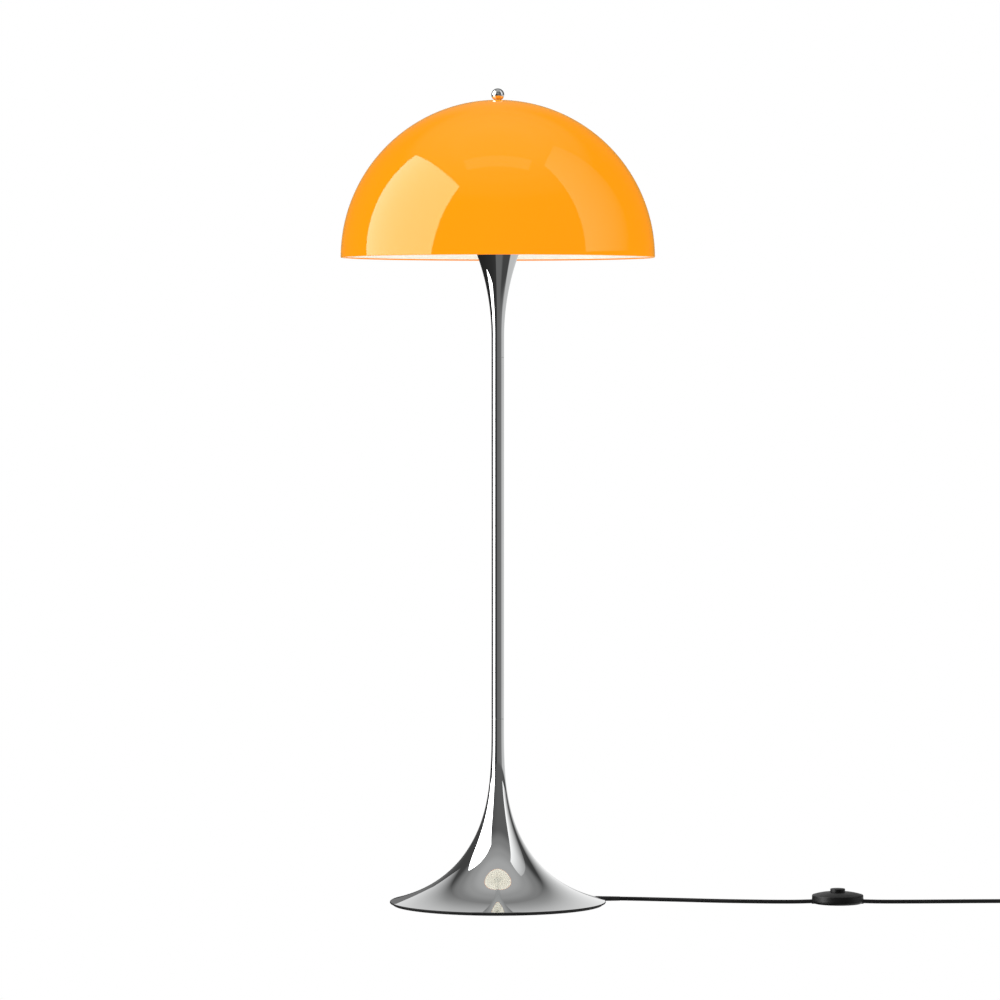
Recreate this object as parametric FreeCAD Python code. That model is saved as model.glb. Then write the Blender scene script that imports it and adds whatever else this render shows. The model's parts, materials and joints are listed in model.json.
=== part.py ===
"""Mushroom floor lamp: a trumpet foot, a slim column, an inverted trumpet flare and a dome shade.

Millimetres, +Z up. The origin is the centre of the foot on the floor, +X points to the side where
the cord leaves, and +Y points to the back. A cast weight, one hollow tie rod and two nuts clamp
the foot, the column and the flare together. The shade rests on a wire carrier above the bulb and
is held there by a ball finial. The cord runs through a foot switch to a coil and a flat plug.
"""

import FreeCAD
import Part

import math
import os

# ---- Overall sizes -------------------------------------------------------------------------
SHADE_RADIUS = 250.0
SHADE_RIM_Z = 1032.0
SHADE_WALL = 2.5
FOOT_RADIUS = 172.4
FOOT_RIM_Z = 2.6
COLUMN_RADIUS = 10.0
COLUMN_BORE = 8.4
LOWER_SEAM_Z = 296.8
UPPER_SEAM_Z = 873.2
SEAM_EASE = 0.35
SHEET = 1.6

# ---- Foot ----------------------------------------------------------------------------------
NECK_END_Z = 288.0
FOOT_UPPER_CURVE = [(10.0, 288.0), (10.0, 211.0), (11.8, 150.5), (43.2, 96.5)]
FOOT_LOWER_CURVE = [(43.2, 96.5), (75.5, 40.5), (124.0, 18.0), (170.9, 5.6)]
FOOT_BEAD = 1.5
COVER_Z = 2.4
COVER_THICKNESS = 1.0
COVER_RADIUS = 168.4
RING_INNER = 154.0
RING_OUTER = 168.0
BALLAST_RADIUS = 140.0
BALLAST_TOP_Z = 16.4
HUB_RADIUS = 40.0
HUB_TOP_Z = 54.0
RECESS_RADIUS = 30.0
RECESS_TOP_Z = 44.0
RIM_LEDGE = 0.4
RING_CHAMFER = 0.8
COVER_SCREW_CIRCLE = 112.0
COVER_SCREW_COUNT = 3
COVER_SCREW_ANGLE = 100.0
COVER_SCREW_HEAD = 4.0
COVER_SCREW_LOW_Z = 0.6
COVER_SCREW_TIP_Z = 11.0
SCREW_SHANK = 2.0
RECESS_SHARE = 1.2
RECESS_WIDTH = 0.8
RECESS_DEPTH = 0.9

# ---- Tie rod and its nuts --------------------------------------------------------------------
ROD_RADIUS = 5.0
ROD_BORE = 3.7
ROD_BOTTOM_Z = 35.5
ROD_TOP_Z = 1114.0
NUT_FLATS = 17.0
NUT_HEIGHT = 5.0
WASHER_RADIUS = 14.0
WASHER_THICKNESS = 1.5
SPIGOT_HALF = 19.0

# ---- Flare and holder plate ------------------------------------------------------------------
FLARE_ARC_RADIUS = 384.0
FLARE_START_Z = 905.0
FLARE_TOP_Z = 1112.0
PLATE_Z = 1098.0
PLATE_THICKNESS = 2.0
PLATE_TOP_Z = PLATE_Z + PLATE_THICKNESS
VENT_RADIUS = 5.0
VENT_CIRCLE = 32.0
VENT_COUNT = 6

# ---- Shade carrier ---------------------------------------------------------------------------
ARM_COUNT = 3
ARM_FIRST_ANGLE = 90.0
ARM_RADIUS = 2.0
ARM_CIRCLE = 52.0
ARM_BEND_Z = 1190.0
ARM_BEND_RADIUS = 78.0
CARRIER_RING_INNER = 45.0
CARRIER_RING_OUTER = 57.0
CARRIER_RING_THICKNESS = 2.0
CARRIER_SCREW_HEAD = 3.6
CARRIER_SCREW_HEAD_HEIGHT = 2.2
CARRIER_SCREW_TIP_Z = 1093.0
CARRIER_NUT_FLATS = 7.0
CARRIER_NUT_HEIGHT = 3.2
BOSS_RADIUS = 9.0
BOSS_BOTTOM_Z = 1257.0
BOSS_TOP_Z = 1275.0
STUD_RADIUS = 3.0
STUD_TOP_Z = 1291.0
SEAT_RADIUS = 12.0
REST_GAP = 0.3

# ---- Ball finial -----------------------------------------------------------------------------
FINIAL_RADIUS = 10.25
FINIAL_CENTRE_Z = 1290.1
FINIAL_FOOT_Z = 1283.1
FINIAL_BORE = 4.5
INSERT_TOP_Z = 1293.5
RUNNING_GAP = 0.05

# ---- Lamp holder and bulb, both E27 ----------------------------------------------------------
HOLDER_Z = 1106.5
HOLDER_CORD_REACH = 12.0
HOLDER_CAP_HEIGHT = 24.0
HOLDER_CAP_WALL = 1.8
CORE_FOOT = 15.0
HOLDER_RADIUS = 19.5
HOLDER_BORE = 16.0
HOLDER_COLLAR = 21.0
CORE_RADIUS = 15.8
CORE_BORE = 13.9
CORE_FLOOR_Z = 1130.0
CORE_TOP_Z = 1158.0
SLEEVE_RADIUS = 13.3
CAP_RADIUS = 13.22
CONTACT_Z = 1136.0
CAP_TOP_Z = 1164.0
GLOBE_RADIUS = 30.0
GLOBE_WALL = 1.2
GLOBE_CENTRE_Z = 1214.0
GLOBE_NECK_Z = 1197.0

# ---- Cord ------------------------------------------------------------------------------------
CORD_RADIUS = 3.2
CORD_Z = 3.3
PORT_Z = 4.6
CORNER_SHARE = 0.45
CHANNEL_ANGLE = 18.5
CHANNEL_Z = 10.4
CHANNEL_WIDTH = 9.0
CHANNEL_LENGTH = 130.0
CHANNEL_MIDDLE = 85.0
CHANNEL_BEND_AT = 120.0
ROD_BEND_RADIUS = 26.0
ANCHOR_DISTANCE = 85.0
ANCHOR_SIZE = (14.0, 34.0)
ANCHOR_POCKET = (16.0, 36.0)
ANCHOR_SCREW_ACROSS = 12.0
ANCHOR_SCREW_HEAD = 3.6
ANCHOR_SCREW_LOW_Z = 3.6
ANCHOR_SCREW_TIP_Z = 13.0
ANCHOR_Z = 5.4
ANCHOR_THICKNESS = 1.8
GLAND_Y = 48.0
GLAND_Z = 4.1
GLAND_SLOT_START_X = 120.0
GLAND_SLOT_END_X = 180.0
GLAND_INNER_X = 146.0
GLAND_SHOULDER_X = 163.0
GLAND_TIP_X = 196.0
GLAND_RADIUS = 4.0
GLAND_TIP_RADIUS = 3.5

# ---- Foot switch -----------------------------------------------------------------------------
SWITCH_X = 543.0
SWITCH_Y = 5.5
SWITCH_RADIUS = 41.0
SWITCH_CORD_REACH = 33.0
SWITCH_STEP = 0.2
SWITCH_FLOOR_Z = 1.0
SWITCH_CHAMFER_RADIUS = 37.5
SWITCH_CHAMFER_Z = 4.2
SWITCH_LIP = (36.6, 38.3)
SWITCH_LIP_TOP_Z = 8.5
COVER_SEAM_Z = 6.0
COVER_BORE = 38.5
ROOF_EDGE = (39.4, 15.0)
ROOF_MIDDLE = (26.5, 18.2)
ROOF_HOLE = 12.3
ROOF_TOP_Z = 19.5
ROOF_THICKNESS = 2.2
ROOF_SHOULDER = 1.6
BUTTON_RADIUS = 11.85
BUTTON_TOP_Z = 25.5
BUTTON_CROWN = 0.8
BUTTON_EDGE = 1.0
BUTTON_FLANGE = 14.0
FLANGE_TOP_Z = 16.8
FLANGE_BOTTOM_Z = 15.4
PLUNGER_RADIUS = 2.5
PLUNGER_LENGTH = 5.0
UNIT_SIZE = (24.0, 22.0)
UNIT_TOP_Z = 9.0
UNIT_WELL_RADIUS = 3.0
UNIT_WELL_Z = 6.0
BASE_FLOOR_Z = 2.8
POST_ANGLES = (90.0, 215.0, 325.0)
POST_CIRCLE = 30.0
POST_RADIUS = 3.2
POST_BORE = 1.5
POST_SCREW_TIP_Z = 11.0
POST_HEAD_RADIUS = 2.6
POST_HEAD_DEPTH = 0.9
SCREW_GAP = 0.1
PAD_CIRCLE = 22.0
PAD_COUNT = 3
PAD_ANGLE = 30.0
PAD_RADIUS = 5.0
PAD_TOP_Z = 1.6
BUSH_RADIUS = 4.4
SPRING_RADIUS = 8.0
SPRING_WIRE = 0.45
SPRING_TURNS = 3.0
TERMINAL_SIZE = (12.0, 9.0, 5.6)
TERMINAL_DISTANCE = 26.5
TERMINAL_SCREW_ACROSS = 2.4
SCREW_RISE = 1.2

# ---- Cord's routes ---------------------------------------------------------------------------
LAMP_SIDE_ROUTE = [
    (196.0, 48.0, 4.1),
    (221.0, 51.0, 3.4),
    (262.0, 42.5, 3.3),
    (305.0, 32.5, 3.3),
    (350.0, 20.5, 3.3),
    (400.0, 13.0, 3.3),
    (450.0, 7.5, 3.3),
    (486.0, 5.5, 3.7),
    (510.0, 5.5, 4.6),
]
PLUG_SIDE_ROUTE = [
    (576.0, 5.5, 4.6),
    (600.0, 6.0, 3.7),
    (642.0, 9.0, 3.3),
    (700.0, 11.5, 3.3),
    (760.0, 15.5, 3.3),
    (808.0, 17.5, 3.3),
    (842.0, 20.5, 3.3),
    (866.0, 20.0, 3.3),
]
COIL_X = 866.0
COIL_Y = -22.0
COIL_START_RADIUS = 42.0
COIL_TURN_STEP = 7.2
COIL_LAYER_STEP = 7.1
COIL_TURNS_PER_LAYER = 2
COIL_LAYERS = 4
COIL_LAST_PART = 0.25
TAIL_ROUTE = [
    (909.8, -22.0, 24.6),
    (910.3, -43.0, 23.6),
    (909.8, -74.0, 16.6),
    (907.5, -107.0, 9.4),
    (904.0, -138.0, 7.0),
    (904.0, -160.0, 7.0),
]
PLUG_X = 904.0
PLUG_Z = 7.0
PLUG_BOOT_Y = -160.0
PLUG_BOOT_LENGTH = 30.0
PLUG_BOOT_RADII = (4.0, 5.8)
PLUG_BODY_LENGTH = 35.0
PLUG_BODY_WIDTH = 35.0
PLUG_BODY_HEIGHT = 13.6
PLUG_PIN_SPACING = 18.6
PLUG_NECK_HALF = 7.0
PLUG_SHOULDER = 13.0
PLUG_EDGE = 2.4
PLUG_PIN_LENGTH = 19.0
PIN_RADIUS = 2.0
PIN_ROOT_RADIUS = 1.5
PIN_ROOT_DEPTH = 9.0
PIN_SLEEVE_LENGTH = 10.0
PIN_TIP = 1.0
PIN_TIP_RADIUS = 1.2

UP = FreeCAD.Vector(0, 0, 1)
ALONG_X = FreeCAD.Vector(1, 0, 0)
ORIGIN = FreeCAD.Vector(0, 0, 0)


# ---- Small helpers ---------------------------------------------------------------------------
def unit(vector):
    """The vector at length one."""
    return FreeCAD.Vector(vector).normalize()


def turned(start, *steps):
    """Solid of revolution about +Z through (radius, height) points.

    A step is a point (straight line to it), two points (arc through the first to the second)
    or three points (cubic curve with two handles).
    """
    here = FreeCAD.Vector(start[0], 0, start[1])
    first = here
    edges = []
    for step in steps:
        pairs = step if isinstance(step, list) else [step]
        points = [FreeCAD.Vector(radius, 0, height) for radius, height in pairs]
        if len(points) == 1:
            edges.append(Part.LineSegment(here, points[0]).toShape())
        elif len(points) == 2:
            edges.append(Part.Arc(here, points[0], points[1]).toShape())
        else:
            curve = Part.BezierCurve()
            curve.setPoles([here] + points)
            edges.append(curve.toShape())
        here = points[-1]
    if not here.isEqual(first, 1e-6):
        edges.append(Part.LineSegment(here, first).toShape())
    return Part.Face(Part.Wire(edges)).revolve(ORIGIN, UP, 360)


def disc(radius, bottom, top, x=0.0, y=0.0):
    """Upright cylinder."""
    return Part.makeCylinder(radius, top - bottom, FreeCAD.Vector(x, y, bottom), UP)


def ring(inner, outer, bottom, top, x=0.0, y=0.0):
    """Upright tube."""
    return disc(outer, bottom, top, x, y).cut(disc(inner, bottom, top, x, y))


def block(size, centre, bottom, angle=0.0):
    """Box of size (x, y, z), centred over a point, turned about its own upright axis."""
    width, depth, height = size
    shape = Part.makeBox(width, depth, height, FreeCAD.Vector(-width / 2, -depth / 2, 0))
    shape.rotate(ORIGIN, UP, angle)
    shape.translate(FreeCAD.Vector(centre[0], centre[1], bottom))
    return shape


def hexagon(flats, bottom, top, bore, x=0.0, y=0.0):
    """Hexagon nut with a plain bore."""
    corner = flats / math.sqrt(3)
    angles = [math.radians(60 * index) for index in range(7)]
    points = [FreeCAD.Vector(x + corner * math.cos(a), y + corner * math.sin(a), bottom) for a in angles]
    body = Part.Face(Part.makePolygon(points)).extrude(UP * (top - bottom))
    return body.cut(disc(bore, bottom, top, x, y))


def around(radius, count, first_angle):
    """Points on a circle about the axis, as (x, y)."""
    angles = [math.radians(first_angle + 360.0 * index / count) for index in range(count)]
    return [(radius * math.cos(angle), radius * math.sin(angle)) for angle in angles]


def cap_arc(edge_radius, edge_z, top_z):
    """Arc from an edge to the summit of a spherical cap about the axis, as (middle, summit)."""
    rise = top_z - edge_z
    sphere = (edge_radius ** 2 + rise ** 2) / (2 * rise)
    half = math.asin(edge_radius / sphere) / 2
    return [(sphere * math.sin(half), top_z - sphere * (1 - math.cos(half))), (0.0, top_z)]


def lying(radius, start_x, end_x, y, z):
    """Cylinder along +X."""
    return Part.makeCylinder(radius, end_x - start_x, FreeCAD.Vector(start_x, y, z), ALONG_X)


def offset_poles(poles, distance):
    """Poles of a curve moved to the side by a distance, each square to the legs beside it."""
    moved = []
    for index, (radius, height) in enumerate(poles):
        before = poles[max(index - 1, 0)]
        after = poles[min(index + 1, len(poles) - 1)]
        along = math.hypot(after[0] - before[0], after[1] - before[1])
        side = ((after[1] - before[1]) / along, -(after[0] - before[0]) / along)
        moved.append((radius + side[0] * distance, height + side[1] * distance))
    return moved


# ---- Cord paths ------------------------------------------------------------------------------
def corner_arc(start, corner, end):
    """Arc from start to end, tangent at both to the legs that meet at the corner."""
    middle = (start + end) * 0.5
    sagitta_line = middle - corner
    half_turn = math.atan2(sagitta_line.Length, (end - start).Length / 2)
    reach = (corner - start).Length
    summit = corner + unit(sagitta_line) * (reach * math.tan(half_turn / 2))
    return Part.Arc(start, summit, end), reach / math.tan(half_turn)


def laid_path(route):
    """Straight runs of a route joined by tangent arcs, with the radii of the arcs."""
    points = [FreeCAD.Vector(*point) for point in route]
    edges = []
    radii = []
    here = points[0]
    for before, corner, after in zip(points, points[1:], points[2:]):
        reach = CORNER_SHARE * min((corner - before).Length, (after - corner).Length)
        start = corner - unit(corner - before) * reach
        end = corner + unit(after - corner) * reach
        arc, radius = corner_arc(start, corner, end)
        edges.append(Part.LineSegment(here, start).toShape())
        edges.append(arc.toShape())
        radii.append(radius)
        here = end
    edges.append(Part.LineSegment(here, points[-1]).toShape())
    return Part.Wire(edges), radii


def biarc(start, start_way, end, end_way):
    """Two arcs from start to end, tangent to each other and to the ways given at both ends."""
    chord = end - start
    ways = start_way + end_way
    spread = 2 * (1 - start_way.dot(end_way))
    along = chord.dot(ways)
    reach = (math.sqrt(along * along + spread * chord.dot(chord)) - along) / spread
    first_corner = start + start_way * reach
    second_corner = end - end_way * reach
    joint = (first_corner + second_corner) * 0.5
    first, _ = corner_arc(start, first_corner, joint)
    second, _ = corner_arc(joint, second_corner, end)
    return [first.toShape(), second.toShape()]


def winding_path(place, turns, per_turn=4):
    """Unbroken path through place(turn), a formula for the centre line, as biarcs."""
    step = 1e-5
    count = int(round(turns * per_turn))
    stations = [turns * index / count for index in range(count + 1)]
    points = [place(station) for station in stations]
    ways = [unit(place(station + step) - place(station - step)) for station in stations]
    edges = []
    for index in range(count):
        edges.extend(biarc(points[index], ways[index], points[index + 1], ways[index + 1]))
    return Part.Wire(edges), ways[0]


def wire_tube(path, radius, way):
    """Round solid carried along a path that starts in the given way."""
    start = path.OrderedVertexes[0].Point
    section = Part.Wire(Part.makeCircle(radius, start, way))
    return path.makePipeShell([section], True, False)


def cord_tube(name, route):
    """Tube of the cord along a route; prints its radii and its volume against section by length."""
    path, radii = laid_path(route)
    way = unit(FreeCAD.Vector(*route[1]) - FreeCAD.Vector(*route[0]))
    tube = wire_tube(path, CORD_RADIUS, way)
    plain = math.pi * CORD_RADIUS ** 2 * path.Length
    print(name, "length", round(path.Length, 1), "radii", [round(radius) for radius in radii],
          "volume ratio", round(tube.Volume / plain, 4))
    return tube


# ---- Foot ------------------------------------------------------------------------------------
def foot_curves():
    """Inner curves of the foot shell, one sheet thickness inside the outer ones."""
    return offset_poles(FOOT_UPPER_CURVE, SHEET), offset_poles(FOOT_LOWER_CURVE, SHEET)


def gland_clearance():
    """Space through the rim that the cord's gland fills, open to the floor."""
    below = 2.0
    corner = FreeCAD.Vector(GLAND_SLOT_START_X, GLAND_Y - GLAND_RADIUS, -below)
    length = GLAND_SLOT_END_X - GLAND_SLOT_START_X
    slot = Part.makeBox(length, 2 * GLAND_RADIUS, GLAND_Z + below, corner)
    return slot.fuse(lying(GLAND_RADIUS, GLAND_SLOT_START_X, GLAND_SLOT_END_X, GLAND_Y, GLAND_Z))


def foot_trumpet():
    """Spun trumpet shell with a beaded rim, a straight neck and a notch for the gland."""
    upper, lower = foot_curves()
    join = ((upper[3][0] + lower[0][0]) / 2, (upper[3][1] + lower[0][1]) / 2)
    bead_side = (FOOT_RADIUS, FOOT_RIM_Z + FOOT_BEAD)
    bead_foot = (FOOT_RADIUS - FOOT_BEAD, FOOT_RIM_Z)
    shell = turned(
        (COLUMN_BORE, LOWER_SEAM_Z),
        (COLUMN_RADIUS, LOWER_SEAM_Z),
        FOOT_UPPER_CURVE[0],
        FOOT_UPPER_CURVE[1:],
        FOOT_LOWER_CURVE[1:],
        [bead_side, bead_foot],
        (COVER_RADIUS + RIM_LEDGE, FOOT_RIM_Z),
        (COVER_RADIUS + RIM_LEDGE, lower[3][1]),
        [lower[2], lower[1], join],
        [upper[2], upper[1], (COLUMN_BORE, NECK_END_Z)],
    )
    return shell.cut(gland_clearance())


def foot_cavity():
    """Everything under the foot's shell, down to the cover plate."""
    upper, lower = foot_curves()
    join = ((upper[3][0] + lower[0][0]) / 2, (upper[3][1] + lower[0][1]) / 2)
    floor_z = COVER_Z + COVER_THICKNESS
    return turned(
        (0.0, floor_z),
        (COVER_RADIUS + RIM_LEDGE, floor_z),
        (COVER_RADIUS + RIM_LEDGE, lower[3][1]),
        [lower[2], lower[1], join],
        [upper[2], upper[1], (COLUMN_BORE, NECK_END_Z)],
        (0.0, NECK_END_Z),
    )


def channel_point(distance, across=0.0):
    """Point (x, y) at a distance from the axis along the cord's channel, and across it."""
    angle = math.radians(CHANNEL_ANGLE)
    x = distance * math.cos(angle) - across * math.sin(angle)
    y = distance * math.sin(angle) + across * math.cos(angle)
    return x, y


def foot_ballast():
    """Cast weight with a hub for the rod's nut and a channel under it for the cord."""
    bottom = COVER_Z + COVER_THICKNESS
    weight = disc(BALLAST_RADIUS, bottom, BALLAST_TOP_Z).fuse(disc(HUB_RADIUS, bottom, HUB_TOP_Z))
    weight = weight.common(foot_cavity())
    weight = weight.cut(disc(RECESS_RADIUS, bottom, RECESS_TOP_Z))
    weight = weight.cut(disc(ROD_RADIUS + REST_GAP, RECESS_TOP_Z, HUB_TOP_Z))
    channel_height = CHANNEL_Z + CHANNEL_WIDTH / 2 - bottom
    channel_size = (CHANNEL_LENGTH, CHANNEL_WIDTH, channel_height)
    weight = weight.cut(block(channel_size, channel_point(CHANNEL_MIDDLE), bottom, CHANNEL_ANGLE))
    pocket_size = (*ANCHOR_POCKET, ANCHOR_Z + ANCHOR_THICKNESS - bottom)
    weight = weight.cut(block(pocket_size, channel_point(ANCHOR_DISTANCE), bottom, CHANNEL_ANGLE))
    for across in (-ANCHOR_SCREW_ACROSS, ANCHOR_SCREW_ACROSS):
        x, y = channel_point(ANCHOR_DISTANCE, across)
        weight = weight.cut(disc(SCREW_SHANK, bottom, ANCHOR_SCREW_TIP_Z, x, y))
    for x, y in cover_screw_places():
        weight = weight.cut(disc(SCREW_SHANK, bottom, COVER_SCREW_TIP_Z, x, y))
    return weight


def anchor_screw_places():
    """Screws of the cord's clamp plate, one on each side of the channel."""
    return [channel_point(ANCHOR_DISTANCE, side * ANCHOR_SCREW_ACROSS) for side in (-1, 1)]


def cover_screw_places():
    """Screws of the cover plate, clear of the cord's channel."""
    return around(COVER_SCREW_CIRCLE, COVER_SCREW_COUNT, COVER_SCREW_ANGLE)


def base_cover():
    """Thin plate that closes the foot from below, notched for the gland."""
    plate = disc(COVER_RADIUS, COVER_Z, COVER_Z + COVER_THICKNESS)
    for x, y in cover_screw_places():
        plate = plate.cut(disc(SCREW_SHANK, COVER_Z, COVER_Z + COVER_THICKNESS, x, y))
    return plate.cut(gland_clearance())


def floor_ring():
    """Rubber ring that the foot stands on, set back under the rim and notched for the gland."""
    profile = turned(
        (RING_INNER, COVER_Z),
        (RING_INNER + RING_CHAMFER, 0.0),
        (RING_OUTER - RING_CHAMFER, 0.0),
        (RING_OUTER, COVER_Z),
    )
    return profile.cut(gland_clearance())


def pan_screw(x, y, head_radius, head_bottom, head_top, shank_end):
    """Pan-head screw with a cross recess; the shank goes on from the head to shank_end."""
    head = disc(head_radius, head_bottom, head_top, x, y)
    upwards = shank_end > head_top
    shank_bottom = head_top if upwards else shank_end
    shank_top = shank_end if upwards else head_bottom
    recess_bottom = head_bottom if upwards else head_top - RECESS_DEPTH
    recess = (head_radius * RECESS_SHARE, RECESS_WIDTH, RECESS_DEPTH)
    for angle in (0.0, 90.0):
        head = head.cut(block(recess, (x, y), recess_bottom, angle))
    return head.fuse(disc(SCREW_SHANK, shank_bottom, shank_top, x, y))


def cover_screws():
    """Three screws that hold the cover plate to the weight."""
    return Part.makeCompound([
        pan_screw(x, y, COVER_SCREW_HEAD, COVER_SCREW_LOW_Z, COVER_Z, COVER_SCREW_TIP_Z)
        for x, y in cover_screw_places()
    ])


def cord_gland():
    """Rubber gland in the rim: a straight grip inside and a long taper outside, round the cord."""
    grip = lying(GLAND_RADIUS, GLAND_INNER_X, GLAND_SHOULDER_X, GLAND_Y, GLAND_Z)
    taper_start = FreeCAD.Vector(GLAND_SHOULDER_X, GLAND_Y, GLAND_Z)
    taper_length = GLAND_TIP_X - GLAND_SHOULDER_X
    taper = Part.makeCone(GLAND_RADIUS, GLAND_TIP_RADIUS, taper_length, taper_start, ALONG_X)
    bore = lying(CORD_RADIUS, GLAND_INNER_X, GLAND_TIP_X, GLAND_Y, GLAND_Z)
    return grip.fuse(taper).cut(bore)


def cord_anchor():
    """Clamp plate across the channel that takes the pull of the cord."""
    centre = channel_point(ANCHOR_DISTANCE)
    plate = block((*ANCHOR_SIZE, ANCHOR_THICKNESS), centre, ANCHOR_Z, CHANNEL_ANGLE)
    for x, y in anchor_screw_places():
        plate = plate.cut(disc(SCREW_SHANK, ANCHOR_Z, ANCHOR_Z + ANCHOR_THICKNESS, x, y))
    return plate


def anchor_screws():
    """Two screws of the cord's clamp plate."""
    return Part.makeCompound([
        pan_screw(x, y, ANCHOR_SCREW_HEAD, ANCHOR_SCREW_LOW_Z, ANCHOR_Z, ANCHOR_SCREW_TIP_Z)
        for x, y in anchor_screw_places()
    ])


def flex_inner():
    """Cord from the gland's tip through the weight and up inside the rod to the lamp holder."""
    corner = ROD_BEND_RADIUS * (1 - math.tan(math.radians(22.5)))
    inner_x, inner_y = channel_point(corner)
    outer_x, outer_y = channel_point(CHANNEL_BEND_AT)
    route = [
        (GLAND_TIP_X, GLAND_Y, GLAND_Z),
        (GLAND_INNER_X, GLAND_Y, GLAND_Z),
        (outer_x, outer_y, CHANNEL_Z),
        (inner_x, inner_y, CHANNEL_Z),
        (0.0, 0.0, CHANNEL_Z + corner),
        (0.0, 0.0, HOLDER_Z + HOLDER_CORD_REACH),
    ]
    return cord_tube("flex_inner", route)


# ---- Column ----------------------------------------------------------------------------------
def column_tube():
    """Chromed tube between the two seams, its ends slightly eased."""
    return turned(
        (COLUMN_BORE, LOWER_SEAM_Z),
        (COLUMN_RADIUS - SEAM_EASE, LOWER_SEAM_Z),
        (COLUMN_RADIUS, LOWER_SEAM_Z + SEAM_EASE),
        (COLUMN_RADIUS, UPPER_SEAM_Z - SEAM_EASE),
        (COLUMN_RADIUS - SEAM_EASE, UPPER_SEAM_Z),
        (COLUMN_BORE, UPPER_SEAM_Z),
    )


def spigot(seam_z):
    """Sleeve inside a seam that lines the two tubes up round the rod."""
    return ring(ROD_RADIUS + RUNNING_GAP, COLUMN_BORE, seam_z - SPIGOT_HALF, seam_z + SPIGOT_HALF)


def tie_rod():
    """Hollow rod from the weight to the lamp holder."""
    return ring(ROD_BORE, ROD_RADIUS, ROD_BOTTOM_Z, ROD_TOP_Z)


# ---- Flare and carrier -----------------------------------------------------------------------
def flare_point(arc_radius, angle):
    """Point of an arc that is concentric with the flare's, at an angle from the level."""
    centre_r = COLUMN_RADIUS + FLARE_ARC_RADIUS
    return centre_r - arc_radius * math.cos(angle), FLARE_START_Z + arc_radius * math.sin(angle)


def upper_flare():
    """Chromed inverted trumpet on top of the column, open upwards inside the shade."""
    inner_radius = FLARE_ARC_RADIUS + SHEET
    end = math.asin((FLARE_TOP_Z - FLARE_START_Z) / FLARE_ARC_RADIUS)
    lip = flare_point(FLARE_ARC_RADIUS + SHEET / 2, end + SHEET / 2 / FLARE_ARC_RADIUS)
    return turned(
        (COLUMN_BORE, UPPER_SEAM_Z),
        (COLUMN_RADIUS, UPPER_SEAM_Z),
        (COLUMN_RADIUS, FLARE_START_Z),
        [flare_point(FLARE_ARC_RADIUS, end / 2), flare_point(FLARE_ARC_RADIUS, end)],
        [lip, flare_point(inner_radius, end)],
        [flare_point(inner_radius, end / 2), (COLUMN_BORE, FLARE_START_Z)],
    )


def holder_plate():
    """Disc wedged in the flare's cone, with vents; the rod's top nut pulls it down."""
    inner_radius = FLARE_ARC_RADIUS + SHEET
    low = math.asin((PLATE_Z - FLARE_START_Z) / inner_radius)
    high = math.asin((PLATE_TOP_Z - FLARE_START_Z) / inner_radius)
    plate = turned(
        (ROD_RADIUS + 0.2, PLATE_Z),
        flare_point(inner_radius, low),
        [flare_point(inner_radius, (low + high) / 2), flare_point(inner_radius, high)],
        (ROD_RADIUS + 0.2, PLATE_TOP_Z),
    )
    for x, y in around(VENT_CIRCLE, VENT_COUNT, 0.0):
        plate = plate.cut(disc(VENT_RADIUS, PLATE_Z, PLATE_TOP_Z, x, y))
    for x, y in carrier_screw_places():
        plate = plate.cut(disc(SCREW_SHANK, PLATE_Z, PLATE_TOP_Z, x, y))
    return plate


def carrier_screw_places():
    """Screws of the carrier, halfway between its arms."""
    return around(ARM_CIRCLE, ARM_COUNT, ARM_FIRST_ANGLE + 180.0 / ARM_COUNT)


def carrier_arm(angle):
    """One wire arm: straight up past the bulb, then bent inwards to the boss."""
    bend_centre = ARM_CIRCLE - ARM_BEND_RADIUS
    reach = math.acos((BOSS_RADIUS - ARM_RADIUS - bend_centre) / ARM_BEND_RADIUS)
    start = FreeCAD.Vector(ARM_CIRCLE, 0, PLATE_TOP_Z + CARRIER_RING_THICKNESS / 2)
    corner = FreeCAD.Vector(ARM_CIRCLE, 0, ARM_BEND_Z)
    points = []
    for share in (0.5, 1.0):
        x = bend_centre + ARM_BEND_RADIUS * math.cos(reach * share)
        points.append(FreeCAD.Vector(x, 0, ARM_BEND_Z + ARM_BEND_RADIUS * math.sin(reach * share)))
    edges = [Part.LineSegment(start, corner).toShape(), Part.Arc(corner, points[0], points[1]).toShape()]
    arm = wire_tube(Part.Wire(edges), ARM_RADIUS, UP)
    arm.rotate(ORIGIN, UP, angle)
    return arm


def shade_carrier():
    """Welded carrier: a flat ring, three wire arms round the bulb and a boss on top."""
    ring_top = PLATE_TOP_Z + CARRIER_RING_THICKNESS
    carrier = ring(CARRIER_RING_INNER, CARRIER_RING_OUTER, PLATE_TOP_Z, ring_top)
    carrier = carrier.fuse(disc(BOSS_RADIUS, BOSS_BOTTOM_Z, BOSS_TOP_Z))
    for index in range(ARM_COUNT):
        carrier = carrier.fuse(carrier_arm(ARM_FIRST_ANGLE + 360.0 * index / ARM_COUNT))
    carrier = carrier.cut(disc(STUD_RADIUS, BOSS_BOTTOM_Z, BOSS_TOP_Z))
    for x, y in carrier_screw_places():
        carrier = carrier.cut(disc(SCREW_SHANK, PLATE_TOP_Z, PLATE_TOP_Z + CARRIER_RING_THICKNESS, x, y))
    return carrier


def carrier_screws():
    """Three screws through the carrier's ring and the holder plate."""
    top = PLATE_TOP_Z + CARRIER_RING_THICKNESS
    return Part.makeCompound([
        pan_screw(x, y, CARRIER_SCREW_HEAD, top, top + CARRIER_SCREW_HEAD_HEIGHT, CARRIER_SCREW_TIP_Z)
        for x, y in carrier_screw_places()
    ])


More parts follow.
